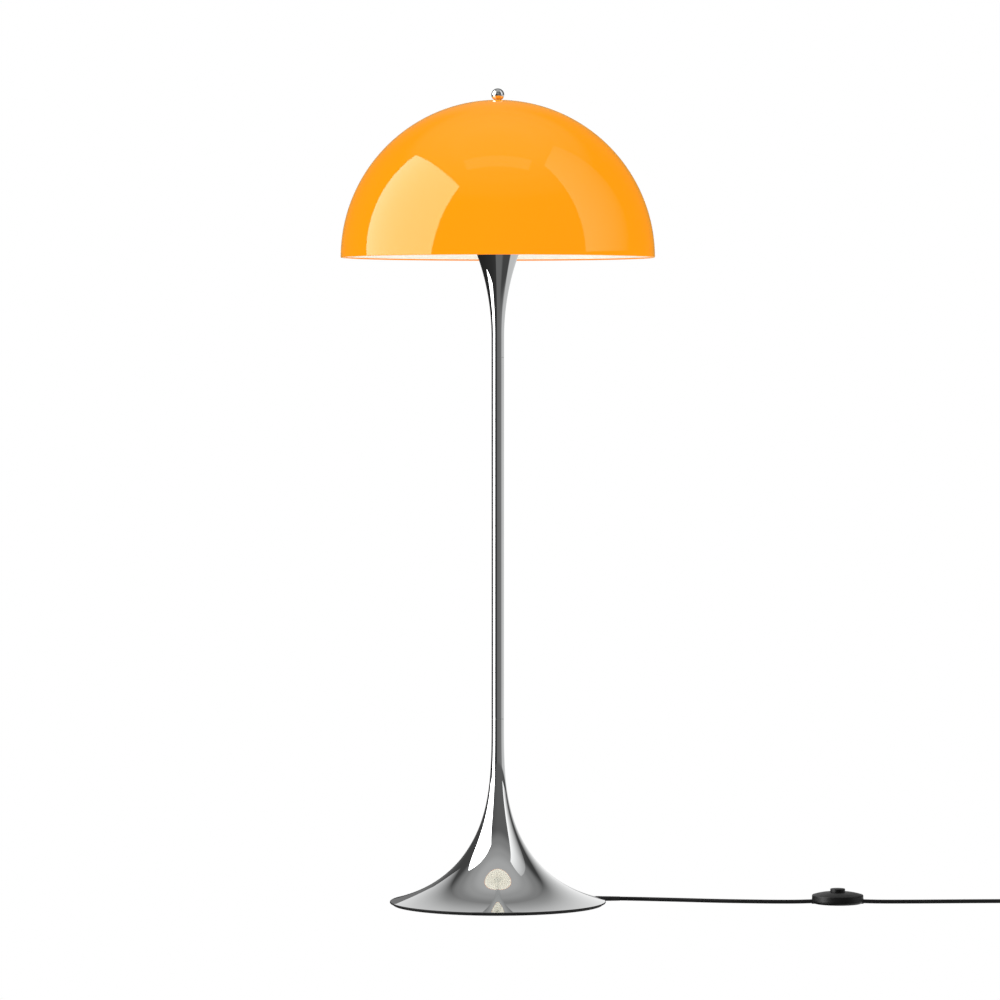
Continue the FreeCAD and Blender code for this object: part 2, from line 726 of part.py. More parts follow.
def carrier_nuts():
    """Nuts of the carrier's screws, under the holder plate."""
    return Part.makeCompound([
        hexagon(CARRIER_NUT_FLATS, PLATE_Z - CARRIER_NUT_HEIGHT, PLATE_Z, SCREW_SHANK, x, y)
        for x, y in carrier_screw_places()
    ])


def seat_washer():
    """Soft washer on the boss that the shade rests on."""
    sphere_z = SHADE_RIM_Z + math.sqrt((SHADE_RADIUS - SHADE_WALL) ** 2 - SEAT_RADIUS ** 2)
    return ring(STUD_RADIUS, SEAT_RADIUS, BOSS_TOP_Z, sphere_z - REST_GAP)


# ---- Lamp holder and bulb --------------------------------------------------------------------
def holder_cap():
    """Bowl of the lamp holder, screwed on the rod's end."""
    outer = HOLDER_BORE + HOLDER_CAP_WALL
    return turned(
        (ROD_RADIUS, HOLDER_Z),
        (10.0, HOLDER_Z),
        [(outer - 2.2, HOLDER_Z + 2.2), (outer, HOLDER_Z + 8.0)],
        (outer, HOLDER_Z + HOLDER_CAP_HEIGHT),
        (HOLDER_BORE, HOLDER_Z + HOLDER_CAP_HEIGHT),
        (HOLDER_BORE, HOLDER_Z + 8.5),
        (ROD_RADIUS, HOLDER_Z + 6.0),
    )


def holder_core():
    """Insulating core that holds the screw sleeve and the contacts."""
    bottom = HOLDER_Z + CORE_FOOT
    return turned(
        (0.0, bottom),
        (CORE_RADIUS, bottom),
        (CORE_RADIUS, CORE_TOP_Z),
        (CORE_BORE, CORE_TOP_Z),
        (CORE_BORE, CORE_FLOOR_Z),
        (0.0, CORE_FLOOR_Z),
    )


def holder_sleeve():
    """Brass screw sleeve of the holder."""
    return ring(SLEEVE_RADIUS, CORE_BORE, CORE_FLOOR_Z, CORE_TOP_Z)


def holder_contacts():
    """Centre contact: a foot on the core's floor, a post and a springy tongue under the bulb."""
    strip = 0.8
    width = 5.0
    post_x = -5.6
    tongue_top = CONTACT_Z - REST_GAP
    foot = block((12.0, width, strip), (0.0, 0.0), CORE_FLOOR_Z)
    post = block((strip, width, tongue_top - CORE_FLOOR_Z), (post_x, 0.0), CORE_FLOOR_Z)
    tongue = block((9.0, width, strip), (post_x + 4.1, 0.0), tongue_top - strip)
    return foot.fuse(post).fuse(tongue)


def holder_shell():
    """Outer skirt of the holder, with a collar near its foot and an eased mouth."""
    bottom = HOLDER_Z + HOLDER_CAP_HEIGHT
    collar = bottom + 3.0
    mouth = CAP_TOP_Z - 3.0
    return turned(
        (HOLDER_BORE, bottom),
        (HOLDER_COLLAR - 2.4, bottom),
        (HOLDER_COLLAR - 2.4, collar),
        (HOLDER_COLLAR, collar + 0.4),
        (HOLDER_COLLAR, collar + 2.4),
        (HOLDER_RADIUS, collar + 3.0),
        (HOLDER_RADIUS, mouth - 1.0),
        (HOLDER_RADIUS - 1.0, mouth),
        (HOLDER_BORE, mouth),
    )


def bulb_contact():
    """Solder button at the bottom of the bulb."""
    return turned((0.0, CONTACT_Z), (3.6, CONTACT_Z), (4.8, CONTACT_Z + 1.2), (0.0, CONTACT_Z + 1.2))


def bulb_insulator():
    """Glassy cone between the button and the screw cap."""
    low = CONTACT_Z + 1.2
    return turned((0.0, low), (5.2, low), (10.5, low + 4.0), (0.0, low + 4.0))


def bulb_cap():
    """Screw cap of the bulb, with rolled rounds in place of the thread."""
    low = CONTACT_Z + 5.2
    pitch = 3.6
    groove = 0.9
    steps = []
    for index in range(5):
        base = low + 1.0 + index * pitch
        middle = (CAP_RADIUS, base + pitch / 2)
        steps.append([middle, (CAP_RADIUS - groove, base + pitch)])
    return turned(
        (0.0, low),
        (10.5, low),
        (CAP_RADIUS - groove, low + 1.0),
        *steps,
        (CAP_RADIUS - groove, CAP_TOP_Z),
        (0.0, CAP_TOP_Z),
    )


def bulb_housing():
    """White plastic body of the bulb, widening from the cap to the globe."""
    neck = math.sqrt(GLOBE_RADIUS ** 2 - (GLOBE_CENTRE_Z - GLOBE_NECK_Z) ** 2)
    return turned(
        (0.0, CAP_TOP_Z),
        (13.4, CAP_TOP_Z),
        (13.8, CAP_TOP_Z + 4.0),
        [(18.4, CAP_TOP_Z + 18.0), (neck, GLOBE_NECK_Z)],
        (0.0, GLOBE_NECK_Z),
    )


def bulb_globe():
    """Opal globe of the bulb."""
    inner = GLOBE_RADIUS - GLOBE_WALL
    drop = GLOBE_CENTRE_Z - GLOBE_NECK_Z
    neck = math.sqrt(GLOBE_RADIUS ** 2 - drop ** 2)
    inner_neck = math.sqrt(inner ** 2 - drop ** 2)
    side, rise = math.cos(math.radians(35)), math.sin(math.radians(35))
    return turned(
        (inner_neck, GLOBE_NECK_Z),
        (neck, GLOBE_NECK_Z),
        [(GLOBE_RADIUS * side, GLOBE_CENTRE_Z + GLOBE_RADIUS * rise), (0.0, GLOBE_CENTRE_Z + GLOBE_RADIUS)],
        (0.0, GLOBE_CENTRE_Z + inner),
        [(inner * side, GLOBE_CENTRE_Z + inner * rise), (inner_neck, GLOBE_NECK_Z)],
    )


# ---- Shade and finial ------------------------------------------------------------------------
def shade():
    """Half-sphere shade with a rounded rim and one hole at the top."""
    inner = SHADE_RADIUS - SHADE_WALL
    hole = STUD_RADIUS + REST_GAP
    outer_hole_z = SHADE_RIM_Z + math.sqrt(SHADE_RADIUS ** 2 - hole ** 2)
    inner_hole_z = SHADE_RIM_Z + math.sqrt(inner ** 2 - hole ** 2)
    diagonal = math.sqrt(0.5)
    return turned(
        (SHADE_RADIUS, SHADE_RIM_Z),
        [(SHADE_RADIUS * diagonal, SHADE_RIM_Z + SHADE_RADIUS * diagonal), (hole, outer_hole_z)],
        (hole, inner_hole_z),
        [(inner * diagonal, SHADE_RIM_Z + inner * diagonal), (inner, SHADE_RIM_Z)],
        [(SHADE_RADIUS - SHADE_WALL / 2, SHADE_RIM_Z - SHADE_WALL / 4), (SHADE_RADIUS, SHADE_RIM_Z)],
    )


def finial_washer():
    """Clear washer between the shade and the finial."""
    return ring(STUD_RADIUS + REST_GAP, 6.2, FINIAL_FOOT_Z - 0.8, FINIAL_FOOT_Z)


def finial_insert():
    """Threaded insert of the finial, shown with a plain bore."""
    return ring(STUD_RADIUS + RUNNING_GAP, FINIAL_BORE, FINIAL_FOOT_Z, INSERT_TOP_Z)


def finial_ball():
    """Chromed ball with a flat foot and a blind bore for the insert."""
    ball = Part.makeSphere(FINIAL_RADIUS, FreeCAD.Vector(0, 0, FINIAL_CENTRE_Z))
    ball = ball.cut(disc(FINIAL_RADIUS, FINIAL_CENTRE_Z - FINIAL_RADIUS, FINIAL_FOOT_Z))
    return ball.cut(disc(FINIAL_BORE + RUNNING_GAP, FINIAL_FOOT_Z, INSERT_TOP_Z + 0.5))


# ---- Foot switch -----------------------------------------------------------------------------
def at_switch(shape):
    """The shape moved from the axis to the switch's place on the cord."""
    shape.translate(FreeCAD.Vector(SWITCH_X, SWITCH_Y, 0))
    return shape


def post_places():
    """Screw posts of the switch, clear of the cord."""
    return [around(POST_CIRCLE, 1, angle)[0] for angle in POST_ANGLES]


def pad_places():
    """Places of the switch's rubber pads."""
    return around(PAD_CIRCLE, PAD_COUNT, PAD_ANGLE)


def switch_ports():
    """The two round ports in the switch's wall."""
    inner, outer = SWITCH_CORD_REACH - 5.0, SWITCH_RADIUS + 2.0
    port = lying(BUSH_RADIUS, inner, outer, 0.0, PORT_Z)
    return port.fuse(lying(BUSH_RADIUS, -outer, -inner, 0.0, PORT_Z))


def switch_base():
    """Base of the switch with a chamfered edge, a lip inside the cover and screw holes."""
    wall = SWITCH_RADIUS - SWITCH_STEP
    lip_inner, lip_outer = SWITCH_LIP
    base = turned(
        (0.0, SWITCH_FLOOR_Z),
        (SWITCH_CHAMFER_RADIUS, SWITCH_FLOOR_Z),
        (wall, SWITCH_CHAMFER_Z),
        (wall, COVER_SEAM_Z),
        (lip_outer, COVER_SEAM_Z),
        (lip_outer, SWITCH_LIP_TOP_Z),
        (lip_inner, SWITCH_LIP_TOP_Z),
        (lip_inner, BASE_FLOOR_Z),
        (0.0, BASE_FLOOR_Z),
    )
    head_top = SWITCH_FLOOR_Z + POST_HEAD_DEPTH
    for x, y in post_places():
        base = base.cut(disc(POST_BORE + SCREW_GAP, SWITCH_FLOOR_Z, BASE_FLOOR_Z, x, y))
        base = base.cut(disc(POST_HEAD_RADIUS + 4 * SCREW_GAP, SWITCH_FLOOR_Z, head_top, x, y))
    for x, y in pad_places():
        base = base.cut(disc(PAD_RADIUS, SWITCH_FLOOR_Z, PAD_TOP_Z, x, y))
    return at_switch(base.cut(switch_ports()))


def switch_cover():
    """Cover of the switch: a straight wall, a shallow domed roof and three posts inside."""
    drop = ROOF_THICKNESS
    edge_radius, edge_z = ROOF_EDGE
    shoulder = ROOF_SHOULDER * (1 - math.sqrt(0.5))
    cover = turned(
        (COVER_BORE, COVER_SEAM_Z),
        (SWITCH_RADIUS, COVER_SEAM_Z),
        (SWITCH_RADIUS, edge_z - ROOF_SHOULDER),
        [(SWITCH_RADIUS - shoulder, edge_z - shoulder), ROOF_EDGE],
        [ROOF_MIDDLE, (ROOF_HOLE, ROOF_TOP_Z)],
        (ROOF_HOLE, ROOF_TOP_Z - drop),
        [(ROOF_MIDDLE[0], ROOF_MIDDLE[1] - drop), (COVER_BORE, edge_z - drop)],
    )
    for x, y in post_places():
        post = disc(POST_RADIUS, BASE_FLOOR_Z, edge_z + drop / 2, x, y)
        cover = cover.fuse(post.cut(disc(POST_BORE, BASE_FLOOR_Z, POST_SCREW_TIP_Z + 1.0, x, y)))
    return at_switch(cover.cut(switch_ports()))


def switch_button():
    """Push button with a domed top, a flange under the roof and a plunger."""
    edge_z = BUTTON_TOP_Z - BUTTON_CROWN
    rounding = BUTTON_EDGE * (1 - math.sqrt(0.5))
    button = turned(
        (0.0, FLANGE_BOTTOM_Z - PLUNGER_LENGTH),
        (PLUNGER_RADIUS, FLANGE_BOTTOM_Z - PLUNGER_LENGTH),
        (PLUNGER_RADIUS, FLANGE_BOTTOM_Z),
        (BUTTON_FLANGE, FLANGE_BOTTOM_Z),
        (BUTTON_FLANGE, FLANGE_TOP_Z),
        (BUTTON_RADIUS, FLANGE_TOP_Z),
        (BUTTON_RADIUS, edge_z - BUTTON_EDGE),
        [(BUTTON_RADIUS - rounding, edge_z - rounding), (BUTTON_RADIUS - BUTTON_EDGE, edge_z)],
        cap_arc(BUTTON_RADIUS - BUTTON_EDGE, edge_z, BUTTON_TOP_Z),
    )
    return at_switch(button)


def switch_spring():
    """Return spring between the switch unit and the button's flange, as one open winding."""
    low = UNIT_TOP_Z + SPRING_WIRE
    rise = FLANGE_BOTTOM_Z - REST_GAP - SPRING_WIRE - low

    def place(turn):
        angle = 2 * math.pi * turn
        height = low + rise * turn / SPRING_TURNS
        return FreeCAD.Vector(SPRING_RADIUS * math.cos(angle), SPRING_RADIUS * math.sin(angle), height)

    path, way = winding_path(place, SPRING_TURNS)
    return at_switch(wire_tube(path, SPRING_WIRE, way))


def switch_unit():
    """Switching block on the base, with a well for the plunger."""
    unit_block = block((*UNIT_SIZE, UNIT_TOP_Z - BASE_FLOOR_Z), (0.0, 0.0), BASE_FLOOR_Z)
    return at_switch(unit_block.cut(disc(UNIT_WELL_RADIUS, UNIT_WELL_Z, UNIT_TOP_Z)))


def switch_terminals():
    """Two screw terminals between the cord's ends and the switching block."""
    blocks = []
    top = BASE_FLOOR_Z + TERMINAL_SIZE[2]
    for x in (-TERMINAL_DISTANCE, TERMINAL_DISTANCE):
        body = block(TERMINAL_SIZE, (x, 0.0), BASE_FLOOR_Z)
        for across in (-TERMINAL_SCREW_ACROSS, TERMINAL_SCREW_ACROSS):
            body = body.fuse(disc(POST_BORE, top, top + SCREW_RISE, x, across))
        blocks.append(body)
    return at_switch(Part.makeCompound(blocks))


def switch_bushes():
    """Two soft bushes where the cord passes the switch's wall."""
    bushes = []
    for start in (SWITCH_CORD_REACH + 2.0, -SWITCH_RADIUS - 0.2):
        end = start + SWITCH_RADIUS - SWITCH_CORD_REACH - 1.8
        bush = lying(BUSH_RADIUS, start, end, 0.0, PORT_Z)
        bushes.append(bush.cut(lying(CORD_RADIUS, start, end, 0.0, PORT_Z)))
    return at_switch(Part.makeCompound(bushes))


def switch_screws():
    """Three screws from below through the base into the posts."""
    head_bottom = SWITCH_FLOOR_Z + SCREW_GAP
    head_top = SWITCH_FLOOR_Z + POST_HEAD_DEPTH
    screws = []
    for x, y in post_places():
        head = disc(POST_HEAD_RADIUS, head_bottom, head_top, x, y)
        screws.append(head.fuse(disc(POST_BORE, head_top, POST_SCREW_TIP_Z, x, y)))
    return at_switch(Part.makeCompound(screws))


def switch_feet():
    """Three rubber pads under the switch."""
    pads = [disc(PAD_RADIUS - SCREW_GAP, 0.0, PAD_TOP_Z, x, y) for x, y in pad_places()]
    return at_switch(Part.makeCompound(pads))


# ---- Coil, plug ------------------------------------------------------------------------------
def coil_place(turn):
    """Centre line of the coil after so many turns.

    It starts at the back and runs clockwise seen from above. The radius falls and grows in turn,
    layer by layer, at one steady rate, and eases from one to the other in the half turn about
    each change of layer, where the cord also climbs one layer.
    """
    rate = COIL_TURN_STEP
    radius = COIL_START_RADIUS
    height = CORD_Z
    half = 0.25
    done = 0.0
    slope = -rate
    for layer in range(1, COIL_LAYERS):
        change = layer * COIL_TURNS_PER_LAYER
        if turn <= change - half:
            break
        radius += slope * (change - half - done)
        part = min(turn - (change - half), 2 * half)
        radius += slope * (part - part * part / (2 * half))
        height += COIL_LAYER_STEP * (1 - math.cos(math.pi * part / (2 * half))) / 2
        done = change + half
        slope = -slope
        if turn < done:
            done = turn
            break
    radius += slope * (turn - done)
    angle = math.pi / 2 - 2 * math.pi * turn
    return FreeCAD.Vector(COIL_X + radius * math.cos(angle), COIL_Y + radius * math.sin(angle), height)


def coil_least_gap(turns):
    """Least distance between two stretches of the coil, surface to surface, on points."""
    per_turn = 48
    points = [coil_place(turns * index / (turns * per_turn)) for index in range(int(turns * per_turn) + 1)]
    nearest = min((points[i] - points[j]).Length
                  for i in range(len(points)) for j in range(i + per_turn // 2, len(points)))
    return nearest - 2 * CORD_RADIUS


def flex_coil():
    """The put-away length as one unbroken coil of piled loops."""
    turns = COIL_LAYERS * COIL_TURNS_PER_LAYER + COIL_LAST_PART
    path, way = winding_path(coil_place, turns)
    coil = wire_tube(path, CORD_RADIUS, way)
    plain = math.pi * CORD_RADIUS ** 2 * path.Length
    print("flex_coil length", round(path.Length, 1), "least gap", round(coil_least_gap(turns), 3),
          "volume ratio", round(coil.Volume / plain, 4), "end", coil_place(turns))
    return coil


def along_plug(shape):
    """A shape built round +Z moved to the plug's axis, pointing away from the cord."""
    shape.rotate(ORIGIN, FreeCAD.Vector(1, 0, 0), 90)
    shape.translate(FreeCAD.Vector(PLUG_X, PLUG_BOOT_Y, PLUG_Z))
    return shape


def plug_boot():
    """Tapered strain relief of the plug, round the cord's end."""
    return along_plug(Part.makeCone(*PLUG_BOOT_RADII, PLUG_BOOT_LENGTH))


def plug_pin_places():
    """Pins beside the plug's axis."""
    return [(-PLUG_PIN_SPACING / 2, 0.0), (PLUG_PIN_SPACING / 2, 0.0)]


def plug_body():
    """Flat two-pin plug body that widens from the cord to the face, with soft edges."""
    near = PLUG_BOOT_LENGTH
    far = near + PLUG_BODY_LENGTH
    half = PLUG_BODY_WIDTH / 2
    thick = PLUG_BODY_HEIGHT / 2
    shoulder = near + PLUG_SHOULDER
    right = [(PLUG_NECK_HALF, near), (half, shoulder), (half, far)]
    outline = right + [(-x, z) for x, z in reversed(right)]
    points = [FreeCAD.Vector(x, -thick, z) for x, z in outline]
    body = Part.Face(Part.makePolygon(points + points[:1])).extrude(FreeCAD.Vector(0, 2 * thick, 0))
    body = body.makeFillet(PLUG_EDGE, body.Edges)
    for x, y in plug_pin_places():
        body = body.cut(disc(PIN_ROOT_RADIUS, far - PIN_ROOT_DEPTH, far, x, y))
    return along_plug(body)


def plug_pins():
    """Two round pins, thinner where their sleeves are."""
    face = PLUG_BOOT_LENGTH + PLUG_BODY_LENGTH
    pins = []
    sleeve_end = face + PIN_SLEEVE_LENGTH
    tip_start = face + PLUG_PIN_LENGTH - PIN_TIP
    for x, y in plug_pin_places():
        root = disc(PIN_ROOT_RADIUS, face - PIN_ROOT_DEPTH, sleeve_end, x, y)
        bare = disc(PIN_RADIUS, sleeve_end, tip_start, x, y)
        tip = Part.makeCone(PIN_RADIUS, PIN_TIP_RADIUS, PIN_TIP, FreeCAD.Vector(x, y, tip_start), UP)
        pins.append(root.fuse(bare).fuse(tip))
    return along_plug(Part.makeCompound(pins))


def plug_pin_sleeves():
    """Insulating sleeves on the pins."""
    face = PLUG_BOOT_LENGTH + PLUG_BODY_LENGTH
    end = face + PIN_SLEEVE_LENGTH
    sleeves = [ring(PIN_ROOT_RADIUS, PIN_RADIUS, face, end, x, y) for x, y in plug_pin_places()]
    return along_plug(Part.makeCompound(sleeves))


# ---- Assembly --------------------------------------------------------------------------------
def build():
    """All sub-parts by name."""
    nut_bottom = RECESS_TOP_Z - WASHER_THICKNESS
    top_washer = PLATE_TOP_Z + WASHER_THICKNESS
    return {
        "foot_trumpet": foot_trumpet(),
        "foot_ballast": foot_ballast(),
        "base_cover": base_cover(),
        "floor_ring": floor_ring(),
        "cover_screws": cover_screws(),
        "cord_gland": cord_gland(),
        "cord_anchor": cord_anchor(),
        "anchor_screws": anchor_screws(),
        "flex_inner": flex_inner(),
        "tie_rod": tie_rod(),
        "rod_bottom_washer": ring(ROD_RADIUS + 0.2, WASHER_RADIUS, nut_bottom, RECESS_TOP_Z),
        "rod_bottom_nut": hexagon(NUT_FLATS, nut_bottom - NUT_HEIGHT, nut_bottom, ROD_RADIUS),
        "lower_spigot": spigot(LOWER_SEAM_Z),
        "column_tube": column_tube(),
        "upper_spigot": spigot(UPPER_SEAM_Z),
        "upper_flare": upper_flare(),
        "holder_plate": holder_plate(),
        "rod_top_washer": ring(ROD_RADIUS + 0.2, WASHER_RADIUS, PLATE_TOP_Z, top_washer),
        "rod_top_nut": hexagon(NUT_FLATS, top_washer, HOLDER_Z, ROD_RADIUS),
        "shade_carrier": shade_carrier(),
        "carrier_screws": carrier_screws(),
        "carrier_nuts": carrier_nuts(),
        "carrier_stud": disc(STUD_RADIUS, BOSS_BOTTOM_Z, STUD_TOP_Z),
        "seat_washer": seat_washer(),
        "holder_cap": holder_cap(),
        "holder_core": holder_core(),
        "holder_sleeve": holder_sleeve(),
        "holder_contacts": holder_contacts(),
        "holder_shell": holder_shell(),
        "bulb_contact": bulb_contact(),
        "bulb_insulator": bulb_insulator(),
        "bulb_cap": bulb_cap(),
        "bulb_housing": bulb_housing(),
        "bulb_globe": bulb_globe(),
        "shade": shade(),
        "finial_washer": finial_washer(),
        "finial_insert": finial_insert(),
        "finial_ball": finial_ball(),
        "flex_lamp_side": cord_tube("flex_lamp_side", LAMP_SIDE_ROUTE),
        "switch_base": switch_base(),
        "switch_cover": switch_cover(),
        "switch_button": switch_button(),
        "switch_spring": switch_spring(),
        "switch_unit": switch_unit(),
        "switch_terminals": switch_terminals(),
        "switch_bushes": switch_bushes(),
        "switch_screws": switch_screws(),
        "switch_feet": switch_feet(),
        "flex_plug_side": cord_tube("flex_plug_side", PLUG_SIDE_ROUTE),
        "flex_coil": flex_coil(),
        "flex_tail": cord_tube("flex_tail", TAIL_ROUTE),
        "plug_boot": plug_boot(),
        "plug_body": plug_body(),
        "plug_pins": plug_pins(),
        "plug_pin_sleeves": plug_pin_sleeves(),
    }


def main():
    """Build every sub-part, check it and write it."""
    os.makedirs("parts", exist_ok=True)
    for name, shape in build().items():
        if not shape.isValid() or shape.Volume <= 0:
            print("BAD SHAPE", name, shape.isValid(), shape.Volume)
        shape.exportStep("parts/" + name + ".step")
        print(name, "solids", len(shape.Solids), "volume cm3", round(shape.Volume / 1000, 2))


main()
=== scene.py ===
"""Looks of a mushroom floor lamp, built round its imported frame.

Metres, +Z up, the origin at the centre of the foot on the floor. A chromed trumpet foot carries a
slim chromed column, an inverted trumpet flare and a lacquered dome. The cord leaves the foot to
the right, passes a round foot switch and ends in a coil and a flat plug.

The spun, turned and moulded outsides are new surfaces, worked out with numpy from outlines in
the (radius, height) plane. The small hardware stays as it is in the frame and gets its finish.
"""

import json
import logging
import math
from dataclasses import dataclass, field
from enum import Enum
from typing import Callable, Iterable, Sequence

import bpy
import numpy as np
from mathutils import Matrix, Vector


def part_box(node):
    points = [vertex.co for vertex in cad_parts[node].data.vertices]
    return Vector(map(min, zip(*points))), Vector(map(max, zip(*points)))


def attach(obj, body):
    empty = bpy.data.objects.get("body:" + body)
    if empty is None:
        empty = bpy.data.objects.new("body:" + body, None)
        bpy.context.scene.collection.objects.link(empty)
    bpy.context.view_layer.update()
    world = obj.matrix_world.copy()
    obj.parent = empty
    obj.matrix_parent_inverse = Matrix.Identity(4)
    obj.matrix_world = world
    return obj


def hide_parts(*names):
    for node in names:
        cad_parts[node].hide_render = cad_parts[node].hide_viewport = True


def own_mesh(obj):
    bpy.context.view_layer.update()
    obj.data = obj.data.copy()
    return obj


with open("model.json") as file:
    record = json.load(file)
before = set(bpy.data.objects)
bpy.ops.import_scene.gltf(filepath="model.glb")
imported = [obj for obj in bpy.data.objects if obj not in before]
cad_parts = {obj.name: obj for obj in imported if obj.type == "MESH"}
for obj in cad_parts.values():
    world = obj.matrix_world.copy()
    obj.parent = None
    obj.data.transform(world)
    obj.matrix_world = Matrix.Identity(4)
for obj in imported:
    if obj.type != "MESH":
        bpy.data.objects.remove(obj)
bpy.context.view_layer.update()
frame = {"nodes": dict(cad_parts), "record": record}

LOG = logging.getLogger("lamp")
BODY_OF = {node: body for body, nodes in frame["record"]["behaviour"]["bodies"].items() for node in nodes}
AROUND = 192
SHARP_ANGLE = math.radians(32.0)
AXIS_REACH = 1e-9
TURN = 2.0 * math.pi
# Sockets of the mix node that take and give colours.
MIX_FIRST, MIX_SECOND, MIX_COLOUR = 6, 7, 2

Colour = tuple[float, float, float]
Point = tuple[float, float]
Place = tuple[float, float, float]
Piece = bpy.types.Object
Socket = bpy.types.NodeSocket


class Slot(Enum):
    """Material slots of the record."""

    CHROME = "chrome"
    CAST_IRON = "cast_iron"
    BLACK_STEEL = "black_steel"
    FLOOR_RUBBER = "floor_rubber"
    ZINC_STEEL = "zinc_steel"
    FLEX_SHEATH = "flex_sheath"
    CLAMP_PLASTIC = "clamp_plastic"
    BRASS = "brass"
    WHITE_STEEL = "white_steel"
    SEAT_RUBBER = "seat_rubber"
    HOLDER_PLASTIC = "holder_plastic"
    HOLDER_CERAMIC = "holder_ceramic"
    CAP_NICKEL = "cap_nickel"
    BLACK_GLASS = "black_glass"
    BULB_PLASTIC = "bulb_plastic"
    OPAL = "opal"
    ORANGE_GLOSS = "orange_gloss"
    SWITCH_PLASTIC = "switch_plastic"
    SPRING_STEEL = "spring_steel"
    PLUG_PLASTIC = "plug_plastic"
    PIN_METAL = "pin_metal"


# ---- Finishes --------------------------------------------------------------------------------
class Graph:
    """Node tree of a material or of the surroundings, grown node by node."""

    def __init__(self, owner: bpy.types.Material | bpy.types.World, empty: bool = False) -> None:
        """Takes over the tree of a new material or world.

        Args:
            owner: what the tree belongs to.
            empty: whether the nodes that it starts with are removed.
        """
        owner.use_nodes = True
        self.owner = owner
        self.tree = owner.node_tree
        if empty:
            self.tree.nodes.clear()
        self.places = self.add("ShaderNodeTexCoord").outputs

    def add(self, kind: str, inputs: dict[str | int, object] | None = None,
            **settings: object) -> bpy.types.Node:
        """Adds a node.

        Args:
            kind: Blender's name of the node type.
            inputs: values or sockets for its inputs.
            settings: properties of the node.

        Returns:
            The new node.
        """
        node = self.tree.nodes.new(kind)
        for key, value in settings.items():
            setattr(node, key, value)
        self.feed(node, inputs or {})
        return node

    def feed(self, node: bpy.types.Node, inputs: dict[str | int, object]) -> None:
        """Links sockets to a node's inputs, or sets the inputs' values."""
        for key, value in inputs.items():
            if isinstance(value, Socket):
                self.tree.links.new(value, node.inputs[key])
            else:
                node.inputs[key].default_value = value


class Surface(Graph):
    """Node tree of a finish, round the standard shader that a new material starts with."""

    def __init__(self, name: str) -> None:
        """Starts the material.

        Args:
            name: name of the material.
        """
        super().__init__(bpy.data.materials.new(name))
        self.shader = self.tree.nodes["Principled BSDF"]

    def noise(self, size: float, detail: float, stretch: Place = (1.0, 1.0, 1.0)) -> Socket:
        """Noise whose spots are about one size across.

        Args:
            size: size of a spot, in metres.
            detail: octaves of finer noise.
            stretch: factor by which the place is scaled along each axis first.

        Returns:
            Socket with values about 0.5.
        """
        place = self.add("ShaderNodeMapping", {"Vector": self.places["Object"], "Scale": stretch}).outputs[0]
        inputs = {"Vector": place, "Scale": 1.0 / size, "Detail": detail, "Roughness": 0.55}
        return self.add("ShaderNodeTexNoise", inputs).outputs[0]

    def spread(self, value: Socket, low: float, high: float, start: float = 0.3, stop: float = 0.7) -> Socket:
        """Maps start..stop smoothly to low..high."""
        inputs = {"Value": value, "From Min": start, "From Max": stop, "To Min": low, "To Max": high}
        return self.add("ShaderNodeMapRange", inputs, interpolation_type="SMOOTHSTEP").outputs[0]

    def mixed(self, share: Socket, first: Colour, second: Colour) -> Socket:
        """Colour between two colours."""
        colours = {MIX_FIRST: (*first, 1.0), MIX_SECOND: (*second, 1.0)}
        return self.add("ShaderNodeMix", {0: share, **colours}, data_type="RGBA").outputs[MIX_COLOUR]

    def relief(self, height: Socket, depth: float) -> None:
        """Gives the shader a surface relief of a depth in metres."""
        bump = self.add("ShaderNodeBump", {"Height": height, "Distance": depth, "Strength": 1.0})
        self.feed(self.shader, {"Normal": bump.outputs[0]})


